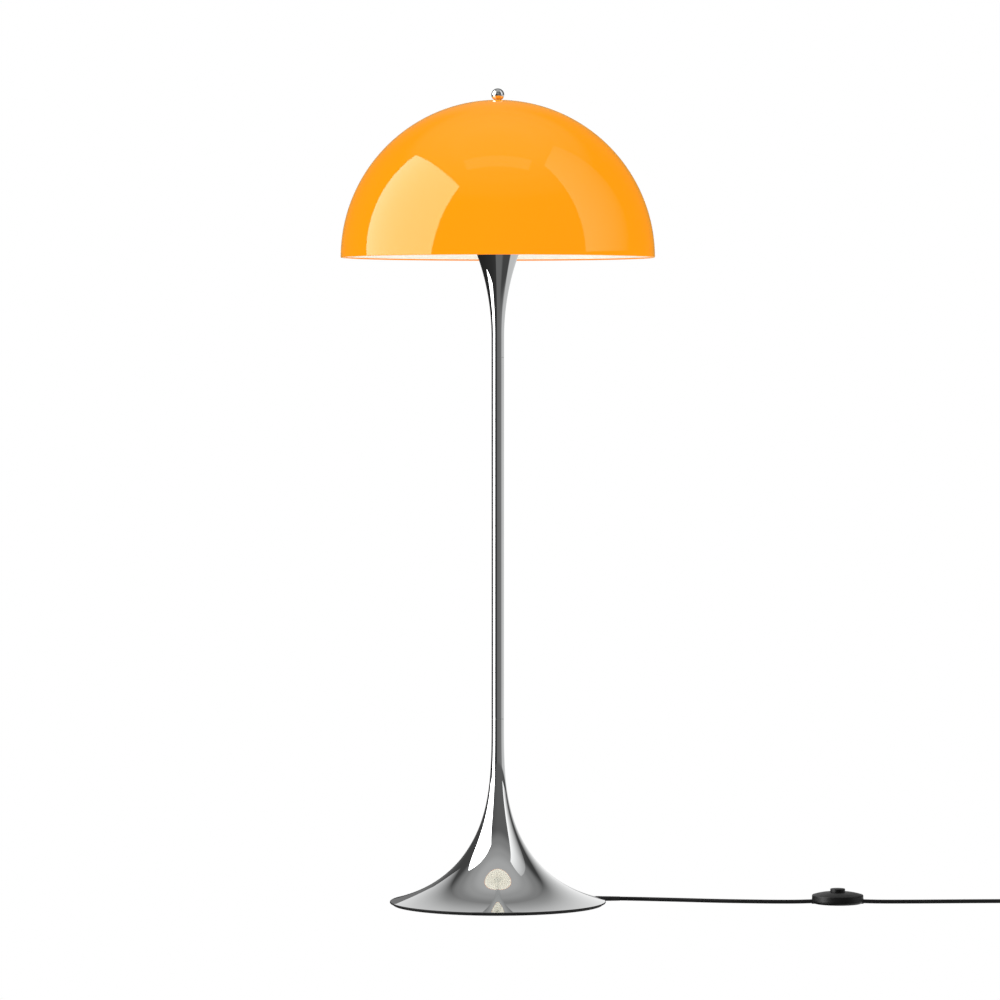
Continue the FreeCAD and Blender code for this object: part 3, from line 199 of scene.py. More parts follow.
@dataclass(frozen=True)
class Finish:
    """Finish with slow drift of its colour and gloss and a fine grain.

    Attributes:
        slot: material slot of the record.
        colour: base colour, linear.
        drift: colour that the base drifts to.
        gloss: roughness at both ends of its drift.
        metal: 1 for a metal, 0 for anything else.
        drift_size: size of the drifting patches.
        grain_size: size of one grain of the relief.
        grain_depth: depth of the relief; 0 for none.
        shine: specular level.
        index: refractive index of the surface.
        tint: colour of its mirror image where it is seen square on.
        bloom: weight of the soft sheen along its outline.
        bloom_colour: colour of that sheen.
        label: name of the finish where it differs from the slot's.
    """

    slot: Slot
    colour: Colour
    drift: Colour
    gloss: tuple[float, float]
    metal: float = 0.0
    drift_size: float = 0.03
    grain_size: float = 0.0008
    grain_depth: float = 0.0
    shine: float = 0.5
    index: float = 1.5
    tint: Colour = (1.0, 1.0, 1.0)
    bloom: float = 0.0
    bloom_colour: Colour = (1.0, 1.0, 1.0)
    label: str = ""

    @property
    def name(self) -> str:
        """Name of the finish's material."""
        return f"{self.label or self.slot.value}_finish"

    def material(self) -> bpy.types.Material:
        """The finish's material, made when it is first asked for."""
        known = bpy.data.materials.get(self.name)
        if known is not None:
            return known
        graph = Surface(self.name)
        graph.feed(graph.shader, {
            "Metallic": self.metal, "Specular IOR Level": self.shine, "IOR": self.index,
            "Specular Tint": (*self.tint, 1.0), "Sheen Weight": self.bloom,
            "Sheen Tint": (*self.bloom_colour, 1.0)})
        self.paint(graph)
        return graph.owner

    def coat(self, graph: Surface, patches: Socket, start: float = 0.3, stop: float = 0.7) -> None:
        """Lets the colour and the gloss drift with a noise.

        Args:
            graph: tree of the material.
            patches: the noise.
            start: noise at which the gloss starts to drift.
            stop: noise at which it has drifted all the way.
        """
        colour = graph.mixed(graph.spread(patches, 0, 1), self.colour, self.drift)
        gloss = graph.spread(patches, *self.gloss, start, stop)
        graph.feed(graph.shader, {"Base Color": colour, "Roughness": gloss})

    def paint(self, graph: Surface) -> None:
        """Adds the colour, gloss and relief."""
        self.coat(graph, graph.noise(self.drift_size, 4.0))
        if self.grain_depth:
            graph.relief(graph.noise(self.grain_size, 3.0), self.grain_depth)


@dataclass(frozen=True)
class PolishedMetal(Finish):
    """Mirror plating: faint smears in the gloss and polishing lines that run round the piece."""

    line_size: float = 0.0006
    line_depth: float = 2.0e-7

    def paint(self, graph: Surface) -> None:
        """Adds the smears and the lines."""
        self.coat(graph, graph.noise(self.drift_size, 5.0, (1.0, 1.0, 0.6)), 0.35, 0.75)
        graph.relief(graph.noise(self.line_size, 2.0, (0.004, 0.004, 1.0)), self.line_depth)


@dataclass(frozen=True)
class Lacquer(Finish):
    """Sprayed gloss lacquer with the faint ripple of orange peel."""

    peel_size: float = 0.0035
    peel_depth: float = 1.2e-6

    def paint(self, graph: Surface) -> None:
        """Adds the colour's drift and the peel."""
        self.coat(graph, graph.noise(self.drift_size, 2.0))
        graph.relief(graph.noise(self.peel_size, 1.0), self.peel_depth)


@dataclass(frozen=True)
class OpalGlass(Finish):
    """Milky diffuser that lets light through."""

    milk: float = 0.25
    milk_depth: float = 0.004

    def paint(self, graph: Surface) -> None:
        """Adds the milk: light scattered under the surface."""
        super().paint(graph)
        depth = (self.milk_depth,) * 3
        graph.feed(graph.shader, {"Subsurface Weight": self.milk, "Subsurface Radius": depth})


CHROME = PolishedMetal(Slot.CHROME, (0.83, 0.84, 0.84), (0.80, 0.81, 0.81), (0.012, 0.045), 1.0, 0.06)
ORANGE = Lacquer(Slot.ORANGE_GLOSS, (1.0, 0.262, 0.0016), (0.98, 0.257, 0.0014), (0.025, 0.045),
                 drift_size=0.2, index=1.66, tint=(1.0, 1.0, 0.66), bloom=0.3, bloom_colour=(1.0, 0.62, 0.0))
SHADE_WHITE = Lacquer(Slot.ORANGE_GLOSS, (0.93, 0.905, 0.82), (0.91, 0.885, 0.80), (0.28, 0.36),
                      drift_size=0.15, label="shade_inside_white")
# Painted light: the washer under the ball is clear; this orange stands for the dome seen through it.
FINIAL_SEAT_PAINTED_ORANGE = Finish(Slot.SEAT_RUBBER, (0.86, 0.36, 0.045), (0.80, 0.32, 0.04), (0.25, 0.4),
                     label="finial_seat_amber")
WHITE_STEEL = Finish(Slot.WHITE_STEEL, (0.80, 0.80, 0.78), (0.74, 0.74, 0.72), (0.35, 0.5),
                     grain_size=0.0009, grain_depth=6e-6)
CAST_IRON = Finish(Slot.CAST_IRON, (0.045, 0.045, 0.047), (0.09, 0.075, 0.065), (0.55, 0.85), 0.6,
                   drift_size=0.02, grain_size=0.0016, grain_depth=2.5e-4)
BLACK_STEEL = Finish(Slot.BLACK_STEEL, (0.012, 0.012, 0.013), (0.02, 0.02, 0.021), (0.38, 0.55),
                     grain_size=0.0007, grain_depth=2.5e-5)
ZINC = Finish(Slot.ZINC_STEEL, (0.55, 0.56, 0.58), (0.62, 0.60, 0.52), (0.22, 0.42), 1.0,
              drift_size=0.008, grain_size=0.0004, grain_depth=4e-6)
RUBBER = Finish(Slot.FLOOR_RUBBER, (0.006, 0.006, 0.006), (0.010, 0.010, 0.010), (0.55, 0.75),
                drift_size=0.012, grain_size=0.0006, grain_depth=1.2e-5, shine=0.25)
CLAMP = Finish(Slot.CLAMP_PLASTIC, (0.70, 0.69, 0.65), (0.62, 0.61, 0.57), (0.4, 0.55), grain_depth=1e-5)
BRASS = Finish(Slot.BRASS, (0.78, 0.58, 0.28), (0.62, 0.43, 0.20), (0.16, 0.36), 1.0,
               drift_size=0.006, grain_size=0.0005, grain_depth=3e-6)
SEAT = Finish(Slot.SEAT_RUBBER, (0.55, 0.55, 0.53), (0.48, 0.48, 0.46), (0.35, 0.5), grain_depth=8e-6)
PHENOLIC = Finish(Slot.HOLDER_PLASTIC, (0.014, 0.013, 0.012), (0.022, 0.020, 0.018), (0.22, 0.36),
                  drift_size=0.01, grain_size=0.0012, grain_depth=8e-6)
CERAMIC = Finish(Slot.HOLDER_CERAMIC, (0.80, 0.78, 0.73), (0.74, 0.71, 0.65), (0.28, 0.5), grain_depth=1.5e-5)
NICKEL = Finish(Slot.CAP_NICKEL, (0.66, 0.64, 0.60), (0.58, 0.55, 0.50), (0.14, 0.3), 1.0,
                drift_size=0.006, grain_size=0.0004, grain_depth=3e-6)
BLACK_GLASS = Finish(Slot.BLACK_GLASS, (0.008, 0.008, 0.009), (0.012, 0.011, 0.012), (0.06, 0.14))
BULB_BODY = Finish(Slot.BULB_PLASTIC, (0.84, 0.84, 0.83), (0.80, 0.80, 0.78), (0.28, 0.4), grain_depth=5e-6)
OPAL = OpalGlass(Slot.OPAL, (0.90, 0.89, 0.87), (0.88, 0.87, 0.84), (0.18, 0.26))
SWITCH_BLACK = Finish(Slot.SWITCH_PLASTIC, (0.0012, 0.0012, 0.0013), (0.0018, 0.0018, 0.0020), (0.40, 0.48),
                      drift_size=0.02, grain_size=0.00045, grain_depth=6e-6, shine=0.42)
SPRING = Finish(Slot.SPRING_STEEL, (0.60, 0.60, 0.60), (0.52, 0.50, 0.47), (0.18, 0.3), 1.0, drift_size=0.004)
FLEX = Finish(Slot.FLEX_SHEATH, (0.0045, 0.0045, 0.0048), (0.007, 0.007, 0.0074), (0.34, 0.44),
              grain_size=0.0009, grain_depth=6e-6, shine=0.3)
PLUG_BLACK = Finish(Slot.PLUG_PLASTIC, (0.009, 0.009, 0.0095), (0.014, 0.014, 0.0145), (0.34, 0.5),
                    drift_size=0.015, grain_size=0.0006, grain_depth=1.5e-5)
PIN = Finish(Slot.PIN_METAL, (0.72, 0.70, 0.66), (0.64, 0.62, 0.58), (0.16, 0.32), 1.0,
             drift_size=0.004, grain_size=0.0004, grain_depth=2e-6)

FINISHES = (CHROME, ORANGE, WHITE_STEEL, CAST_IRON, BLACK_STEEL, ZINC, RUBBER, CLAMP, BRASS, SEAT, PHENOLIC,
            CERAMIC, NICKEL, BLACK_GLASS, BULB_BODY, OPAL, SWITCH_BLACK, SPRING, FLEX, PLUG_BLACK, PIN)


# ---- Outlines and surfaces -------------------------------------------------------------------
@dataclass
class Outline:
    """Line in the (radius, height) plane, grown stretch by stretch.

    Attributes:
        start: first point.
        points: arrays of points, each of shape (n, 2).
    """

    start: Point
    points: list[np.ndarray] = field(default_factory=list)

    def __post_init__(self) -> None:
        """Puts the first point down."""
        self.points.append(np.array([self.start], float))

    @property
    def end(self) -> np.ndarray:
        """Last point so far."""
        return self.points[-1][-1]

    def line(self, to: Point, steps: int = 1) -> "Outline":
        """Straight stretch in equal steps: the end moves evenly from here to there."""
        share = np.arange(1, steps + 1)[:, None] / steps
        self.points.append(self.end + (np.array(to, float) - self.end) * share)
        return self

    def path(self, *corners: Point) -> "Outline":
        """Straight stretches from corner to corner."""
        for corner in corners:
            self.line(corner)
        return self

    def cubic(self, first: Point, second: Point, to: Point, steps: int = 40) -> "Outline":
        """Cubic curve: the weighted sum of four points with Bernstein weights.

        Args:
            first: handle that leaves this point.
            second: handle that enters the last point.
            to: last point.
            steps: number of new points.

        Returns:
            The outline.
        """
        t = np.arange(1, steps + 1)[:, None] / steps
        here, a, b, there = self.end, np.array(first), np.array(second), np.array(to)
        ends = (1 - t) ** 3 * here + t ** 3 * there
        self.points.append(ends + 3 * (1 - t) ** 2 * t * a + 3 * (1 - t) * t ** 2 * b)
        return self

    def arc(self, middle: Point, to: Point, steps: int = 24) -> "Outline":
        """Arc of the circle through here, a middle point and the end.

        The centre is where the perpendicular bisectors of the two chords meet; the points turn
        about it at an even rate, the way that passes the middle point.

        Args:
            middle: any point of the arc between its ends.
            to: last point.
            steps: number of new points.

        Returns:
            The outline.
        """
        here, mid, there = self.end, np.array(middle, float), np.array(to, float)
        chords = np.stack([mid - here, there - here])
        centre = np.linalg.solve(2 * chords, np.array([mid @ mid - here @ here, there @ there - here @ here]))
        angles = np.arctan2(*(np.stack([here, mid, there]) - centre).T[::-1])
        way = 1.0 if np.cross(mid - here, there - mid) > 0 else -1.0
        sweep = (way * (angles[2] - angles[0])) % TURN * way
        turn = angles[0] + sweep * np.arange(1, steps + 1) / steps
        radius = np.hypot(*(here - centre))
        self.points.append(centre + radius * np.stack([np.cos(turn), np.sin(turn)], axis=1))
        self.points[-1][-1] = there
        return self

    def array(self) -> np.ndarray:
        """All points, counter-clockwise, without doubles."""
        line = np.concatenate(self.points)
        keep = np.ones(len(line), bool)
        keep[1:] = np.hypot(*(line[1:] - line[:-1]).T) > 1e-8
        line = line[keep]
        if np.hypot(*(line[0] - line[-1])) < 1e-8:
            line = line[:-1]
        after = np.roll(line, -1, axis=0)
        area = np.sum(line[:, 0] * after[:, 1] - after[:, 0] * line[:, 1])
        return line if area > 0 else line[::-1]


def new_object(name: str, data: bpy.types.ID) -> Piece:
    """Object with the given data, put into the scene."""
    piece = bpy.data.objects.new(name, data)
    bpy.context.scene.collection.objects.link(piece)
    return piece


def mesh_piece(name: str, points: np.ndarray, faces: Iterable[Sequence[int]]) -> Piece:
    """Makes a smooth mesh object with sharp edges where the surface folds.

    Args:
        name: name of the piece.
        points: array of shape (n, 3), in metres in the shared frame.
        faces: rows of vertex numbers.

    Returns:
        The object, at the origin.
    """
    mesh = bpy.data.meshes.new(name)
    mesh.from_pydata(points.tolist(), [], list(faces))
    mesh.validate()
    mesh.polygons.foreach_set("use_smooth", np.ones(len(mesh.polygons), bool))
    mesh.set_sharp_from_angle(angle=SHARP_ANGLE)
    mesh.update()
    return new_object(name, mesh)


def grid_faces(index: np.ndarray) -> list[list[int]]:
    """Faces between the rows of a grid of vertex numbers, as triangles where a row is one point.

    Args:
        index: array of shape (rows, columns) whose columns already close on themselves.

    Returns:
        The faces, row by row, facing left of the rows' way and up the columns.
    """
    low, high = index[:-1], index[1:]
    quads = np.stack([low[:, :-1], low[:, 1:], high[:, 1:], high[:, :-1]], axis=-1).reshape(-1, 4)
    low_pole = quads[:, 0] == quads[:, 1]
    high_pole = quads[:, 2] == quads[:, 3]
    faces = quads[~(low_pole | high_pole)].tolist()
    faces += quads[low_pole][:, [0, 2, 3]].tolist()
    faces += quads[high_pole][:, [0, 1, 2]].tolist()
    return faces


def tube_faces(rows: int, around: int, looped: bool = False) -> list[list[int]]:
    """Faces of a tube.

    Args:
        rows: rings of vertices along the tube.
        around: vertices in a ring.
        looped: whether the last ring goes on into the first.

    Returns:
        The faces, row by row.
    """
    index = np.arange(rows * around).reshape(rows, around)
    index = np.concatenate([index, index[:, :1]], axis=1)
    return grid_faces(np.concatenate([index, index[:1]]) if looped else index)


def turned(name: str, outline: Outline, centre: Point = (0.0, 0.0), around: int = AROUND,
           ripple: Callable[[np.ndarray, np.ndarray], np.ndarray] | None = None) -> Piece:
    """Surface of revolution about an upright axis.

    A point of the outline at (r, z) and an angle a gives (x0 + r cos a, y0 + r sin a, z). A point
    on the axis is one vertex. With a ripple, r grows by ripple(z, a).

    Args:
        name: name of the piece.
        outline: closed outline, or one that ends on the axis at both ends.
        centre: where the axis stands.
        around: steps round the axis.
        ripple: change of the radius as a function of the height and the angle.

    Returns:
        The object.
    """
    line = outline.array()
    on_axis = line[:, 0] < AXIS_REACH
    if on_axis.any():
        first = int(np.argmax(on_axis & ~np.roll(on_axis, 1))) if on_axis.sum() < len(line) else 0
        line = np.roll(line, -first, axis=0)
        on_axis = np.roll(on_axis, -first)
        if on_axis[0] and on_axis[1]:
            line = np.roll(line, -1, axis=0)
            on_axis = np.roll(on_axis, -1)
    angle = TURN * np.arange(around) / around
    radius = np.repeat(line[:, :1], around, axis=1)
    height = np.repeat(line[:, 1:], around, axis=1)
    if ripple is not None:
        radius = np.where(on_axis[:, None], radius, radius + ripple(height, angle[None, :]))
    grid = np.stack([centre[0] + radius * np.cos(angle), centre[1] + radius * np.sin(angle), height], axis=-1)
    counts = np.where(on_axis, 1, around)
    starts = np.cumsum(counts) - counts
    index = starts[:, None] + np.where(on_axis[:, None], 0, np.arange(around)[None, :])
    points = np.concatenate([row[:count] for row, count in zip(grid, counts)])
    index = np.concatenate([index, index[:, :1]], axis=1)
    if not on_axis.any():
        index = np.concatenate([index, index[:1]])
    return mesh_piece(name, points, grid_faces(index))


def install(piece: Piece, finish: Finish, *nodes: str) -> Piece:
    """Gives a new piece its finish and the body of the nodes it stands for, and hides those nodes.

    Args:
        piece: the new object.
        finish: its finish.
        nodes: CAD nodes that it replaces; it rides on the first one's body.

    Returns:
        The piece.
    """
    piece.data.materials.append(finish.material())
    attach(piece, BODY_OF[nodes[0]])
    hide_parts(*nodes)
    LOG.info("%s stands for %s", piece.name, ", ".join(nodes))
    return piece


def face_centres(piece: Piece) -> np.ndarray:
    """Middles of a piece's faces, as an array of shape (faces, 3)."""
    centres = np.empty(len(piece.data.polygons) * 3)
    piece.data.polygons.foreach_get("center", centres)
    return centres.reshape(-1, 3)


def dress_nodes() -> None:
    """Gives every node of the frame the finish of its slot; the washer under the ball is painted orange, the
    dome's colour seen through it.
    """
    by_slot = {finish.slot.value: finish for finish in FINISHES}
    for name, node in frame["nodes"].items():
        for slot in node.material_slots:
            key = slot.material.name.split(".")[0] if slot.material else ""
            if key in by_slot:
                slot.material = by_slot[key].material()
            else:
                LOG.warning("%s has no finish for %s", name, key)
    # Painted light: orange for the dome seen through the clear washer under the ball.
    frame["nodes"]["finial_washer"].material_slots[0].material = FINIAL_SEAT_PAINTED_ORANGE.material()


def reach(node: str) -> float:
    """Largest half-width along X of a node that stands on the axis."""
    low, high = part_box(node)
    return (high.x - low.x) / 2


# ---- Foot ------------------------------------------------------------------------------------
@dataclass
class Foot:
    """Spun trumpet with a rolled rim, the rubber gland of the cord and the parts underneath."""

    sheet: float = 0.0016
    neck: float = 0.010
    bore: float = 0.0084
    seam_ease: float = 0.00035
    upper_curve: tuple[Point, ...] = ((0.010, 0.288), (0.010, 0.211), (0.0118, 0.1505), (0.0432, 0.0965))
    lower_curve: tuple[Point, ...] = ((0.0432, 0.0965), (0.0755, 0.0405), (0.124, 0.018), (0.1709, 0.0056))
    bead: float = 0.0015
    rolled_edge: float = 0.0021
    # height of the painted shade: black on the bead's lowest faces for the shadow and dark reflection under
    # the rim
    painted_shadow_edge: float = 0.00285
    cord_radius: float = 0.0032
    gland_tip: float = 0.0035
    gland_grip: float = 0.017
    gland_rings: int = 9
    ring_depth: float = 0.00005
    gland_around: int = 64

    def inner(self, curve: tuple[Point, ...]) -> np.ndarray:
        """Handles of the inner curve: each one a sheet thickness square to the legs beside it."""
        poles = np.array(curve)
        way = np.gradient(poles, axis=0)
        way[1:-1] = poles[2:] - poles[:-2]
        side = np.stack([way[:, 1], -way[:, 0]], axis=1)
        return poles + side / np.linalg.norm(side, axis=1)[:, None] * self.sheet

    def shell(self) -> Outline:
        """Outline of the trumpet: down the outside, round the bead and up the inside."""
        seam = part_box("foot_trumpet")[1].z
        rim_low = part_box("foot_trumpet")[0].z
        rim = reach("foot_trumpet")
        upper, lower = self.inner(self.upper_curve), self.inner(self.lower_curve)
        join = (upper[3] + lower[0]) / 2
        outline = Outline((self.bore, seam))
        outline.path((self.neck - self.seam_ease, seam), (self.neck, seam - self.seam_ease))
        outline.line(self.upper_curve[0], 4)
        outline.cubic(*self.upper_curve[1:], steps=110)
        outline.cubic(*self.lower_curve[1:], steps=110)
        outline.arc((rim, rim_low + self.bead), (rim - self.bead, rim_low), 14)
        inside = self.lower_curve[3][0] - self.rolled_edge
        outline.path((inside, rim_low), (inside, lower[3][1]))
        outline.cubic(lower[2], lower[1], join, 40)
        outline.cubic(upper[2], upper[1], (self.bore, self.upper_curve[0][1]), 40)
        return outline

    def gland(self) -> Piece:
        """Gland round the cord: a straight grip and a taper with soft rings.

        The surface is turned about the cord's axis: at a distance s along +X its radius is the
        taper's, plus a row of rounded rings of the height of a cosine.
        """
        low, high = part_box("cord_gland")
        middle_y = (low.y + high.y) / 2
        middle_z = (low.z + high.z) / 2
        grip = (high.z - low.z) / 2
        shoulder = low.x + self.gland_grip
        s = np.concatenate([np.linspace(low.x, shoulder, 6), np.linspace(shoulder, high.x - 0.0006, 90)[1:]])
        share = np.clip((s - shoulder) / (high.x - shoulder), 0.0, 1.0)
        wave = np.cos(TURN * self.gland_rings * share) - 1
        rings = self.ring_depth * wave * np.where(share > 0, 1.0, 0.0)
        radius = grip + (self.gland_tip - grip) * share + rings * np.minimum(1.0, 12 * share)
        s = np.concatenate([[s[0]], s, [high.x, high.x]])
        radius = np.concatenate([[self.cord_radius], radius, [radius[-1] - 0.0002, self.cord_radius]])
        angle = TURN * np.arange(self.gland_around) / self.gland_around
        points = np.stack([np.repeat(s[:, None], self.gland_around, 1),
                           middle_y + radius[:, None] * np.cos(angle),
                           middle_z + radius[:, None] * np.sin(angle)], axis=-1).reshape(-1, 3)
        return mesh_piece("cord_gland_rubber", points, tube_faces(len(s), self.gland_around, looped=True))

    def build(self) -> None:
        """Builds and installs the foot's new pieces; the bead's lowest faces are painted black as shade under
        the rim.
        """
        shell = turned("foot_shell", self.shell(), around=288)
        install(shell, CHROME, "foot_trumpet")
        shell.data.materials.append(RUBBER.material())
        heights = face_centres(shell)[:, 2]
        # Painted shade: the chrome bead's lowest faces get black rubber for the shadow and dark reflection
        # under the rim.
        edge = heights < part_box("foot_trumpet")[0].z + self.painted_shadow_edge
        shell.data.polygons.foreach_set("material_index", edge.astype(np.int32))
        install(self.gland(), RUBBER, "cord_gland")


# ---- Column and flare ------------------------------------------------------------------------
@dataclass
class Column:
    """Slim chromed tube between two seams, and the inverted trumpet on top of it."""

    ease: float = 0.00035
    bore: float = 0.0084
    arc_radius: float = 0.384
    arc_start: float = 0.905
    arc_top: float = 1.112
    sheet: float = 0.0016

    def tube(self) -> Outline:
        """Outline of the tube, with eased ends."""
        low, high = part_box("column_tube")
        radius = reach("column_tube")
        outline = Outline((self.bore, low.z))
        outline.path((radius - self.ease, low.z), (radius, low.z + self.ease))
        outline.line((radius, high.z - self.ease), 60)
        outline.path((radius - self.ease, high.z), (self.bore, high.z))
        return outline

    def flare_point(self, arc_radius: float, angle: float) -> Point:
        """Point of the flare's arc: its centre lies one arc radius beside the column."""
        centre = reach("column_tube") + self.arc_radius
        return centre - arc_radius * math.cos(angle), self.arc_start + arc_radius * math.sin(angle)

    def flare(self) -> Outline:
        """Outline of the flare: up the outside, over a round lip and down the inside."""
        radius = reach("column_tube")
        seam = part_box("upper_flare")[0].z
        end = math.asin((self.arc_top - self.arc_start) / self.arc_radius)
        inner = self.arc_radius + self.sheet
        lip = self.flare_point(self.arc_radius + self.sheet / 2, end + self.sheet / 2 / self.arc_radius)
        outline = Outline((self.bore, seam))
        outline.path((radius - self.ease, seam), (radius, seam + self.ease))
        outline.line((radius, self.arc_start), 3)
        outline.arc(self.flare_point(self.arc_radius, end / 2), self.flare_point(self.arc_radius, end), 120)
        outline.arc(lip, self.flare_point(inner, end), 8)
        outline.arc(self.flare_point(inner, end / 2), (self.bore, self.arc_start), 40)
        return outline

    def build(self) -> None:
        """Builds and installs the tube and the flare."""
        install(turned("column", self.tube(), around=128), CHROME, "column_tube")
        install(turned("flare", self.flare(), around=224), CHROME, "upper_flare")


# ---- Shade and finial ------------------------------------------------------------------------
@dataclass
class Shade:
    """Half-sphere shade, lacquered orange outside and white inside."""

    wall: float = 0.0025
    hole: float = 0.0033
    rim_drop: float = 0.000625
    edge_band: float = 0.0016

    def build(self) -> None:
        """Builds the dome with its two colours.

        The outline is the outer quarter circle, the hole's wall, the inner quarter circle and the
        rounded rim. Faces whose middle lies on the inner sphere are white, but for a narrow band at
        the rim, where the orange runs over the edge.
        """
        low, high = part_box("shade")
        radius = reach("shade")
        rim = low.z + self.rim_drop
        inner = radius - self.wall
        outer_top = rim + math.sqrt(radius ** 2 - self.hole ** 2)
        inner_top = rim + math.sqrt(inner ** 2 - self.hole ** 2)
        diagonal = math.sqrt(0.5)
        outline = Outline((radius, rim))
        outline.arc((radius * diagonal, rim + radius * diagonal), (self.hole, outer_top), 150)
        outline.line((self.hole, inner_top))
        band = (math.sqrt(inner ** 2 - self.edge_band ** 2), rim + self.edge_band)
        outline.arc((inner * diagonal, rim + inner * diagonal), band, 100).line((inner, rim))
        outline.arc((radius - self.wall / 2, low.z), (radius, rim), 10)
        piece = turned("shade_dome", outline, around=320)
        install(piece, ORANGE, "shade")
        piece.data.materials.append(SHADE_WHITE.material())
        offset = face_centres(piece) - (0.0, 0.0, rim)
        inside = (np.linalg.norm(offset, axis=1) < inner + self.wall * 0.2) & (offset[:, 2] > self.edge_band)
        piece.data.polygons.foreach_set("material_index", inside.astype(np.int32))


@dataclass
class Finial:
    """Chromed ball with a flat foot and a bore for the insert."""

    insert_gap: float = 0.0005
    insert_play: float = 0.00005

    def build(self) -> None:
        """Builds the ball: an arc from the flat foot to the top, and a blind bore."""
        low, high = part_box("finial_ball")
        radius = reach("finial_ball")
        centre = high.z - radius
        foot = math.sqrt(radius ** 2 - (centre - low.z) ** 2)
        insert_low, insert_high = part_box("finial_insert")
        bore = (insert_high.x - insert_low.x) / 2 + self.insert_play
        bore_end = insert_high.z + self.insert_gap
        outline = Outline((bore, low.z)).path((foot - 0.0002, low.z), (foot, low.z + 0.0001))
        outline.arc((radius, centre), (0.0, high.z), 72).path((0.0, bore_end), (bore, bore_end))
        install(turned("finial", outline, around=128), CHROME, "finial_ball")


# ---- Bulb and holder -------------------------------------------------------------------------
@dataclass
class Bulb:
    """Lamp with an opal globe and a screw cap.

    Attributes:
        pitch: rise of the thread in one turn.
        thread: depth of the thread.
        thread_fade: length over which it comes up at either end.
        cap_foot: radius of the cap's foot.
    """

    pitch: float = 0.003629
    thread: float = 0.00085
    thread_fade: float = 0.002
    cap_foot: float = 0.0105

    def rolled_thread(self, height: np.ndarray, angle: np.ndarray) -> np.ndarray:
        """Rolled thread: the radius rises and falls as a cosine of height over pitch less the turn."""
        low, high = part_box("bulb_cap")
        start, stop = low.z + 0.0015, high.z - 0.004
        ends = np.clip((height - start) / self.thread_fade, 0, 1)
        fade = ends * np.clip((stop - height) / self.thread_fade, 0, 1)
        return -self.thread / 2 * (1 - fade * np.cos(TURN * height / self.pitch - angle))

    def cap(self) -> Outline:
        """Outline of the cap: a cone, a long wall for the thread and a plain collar."""
        low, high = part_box("bulb_cap")
        radius = reach("bulb_cap")
        outline = Outline((0.0, low.z)).path((self.cap_foot, low.z), (radius, low.z + 0.001))
        outline.line((radius, high.z), 110).line((0.0, high.z))
        return outline

    def globe(self) -> Outline:
        """Outline of the globe: an arc from its neck to the top, one skin thick."""
        low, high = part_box("bulb_globe")
        radius = reach("bulb_globe")
        centre = high.z - radius
        neck = math.sqrt(radius ** 2 - (centre - low.z) ** 2)
        return Outline((0.0, low.z)).line((neck, low.z)).arc((radius, centre), (0.0, high.z), 64)

    def build(self) -> None:
        """Builds and installs the globe and the cap."""
        install(turned("bulb_globe_glass", self.globe(), around=96), OPAL, "bulb_globe")
        cap = turned("bulb_screw_cap", self.cap(), around=96, ripple=self.rolled_thread)
        install(cap, NICKEL, "bulb_cap")


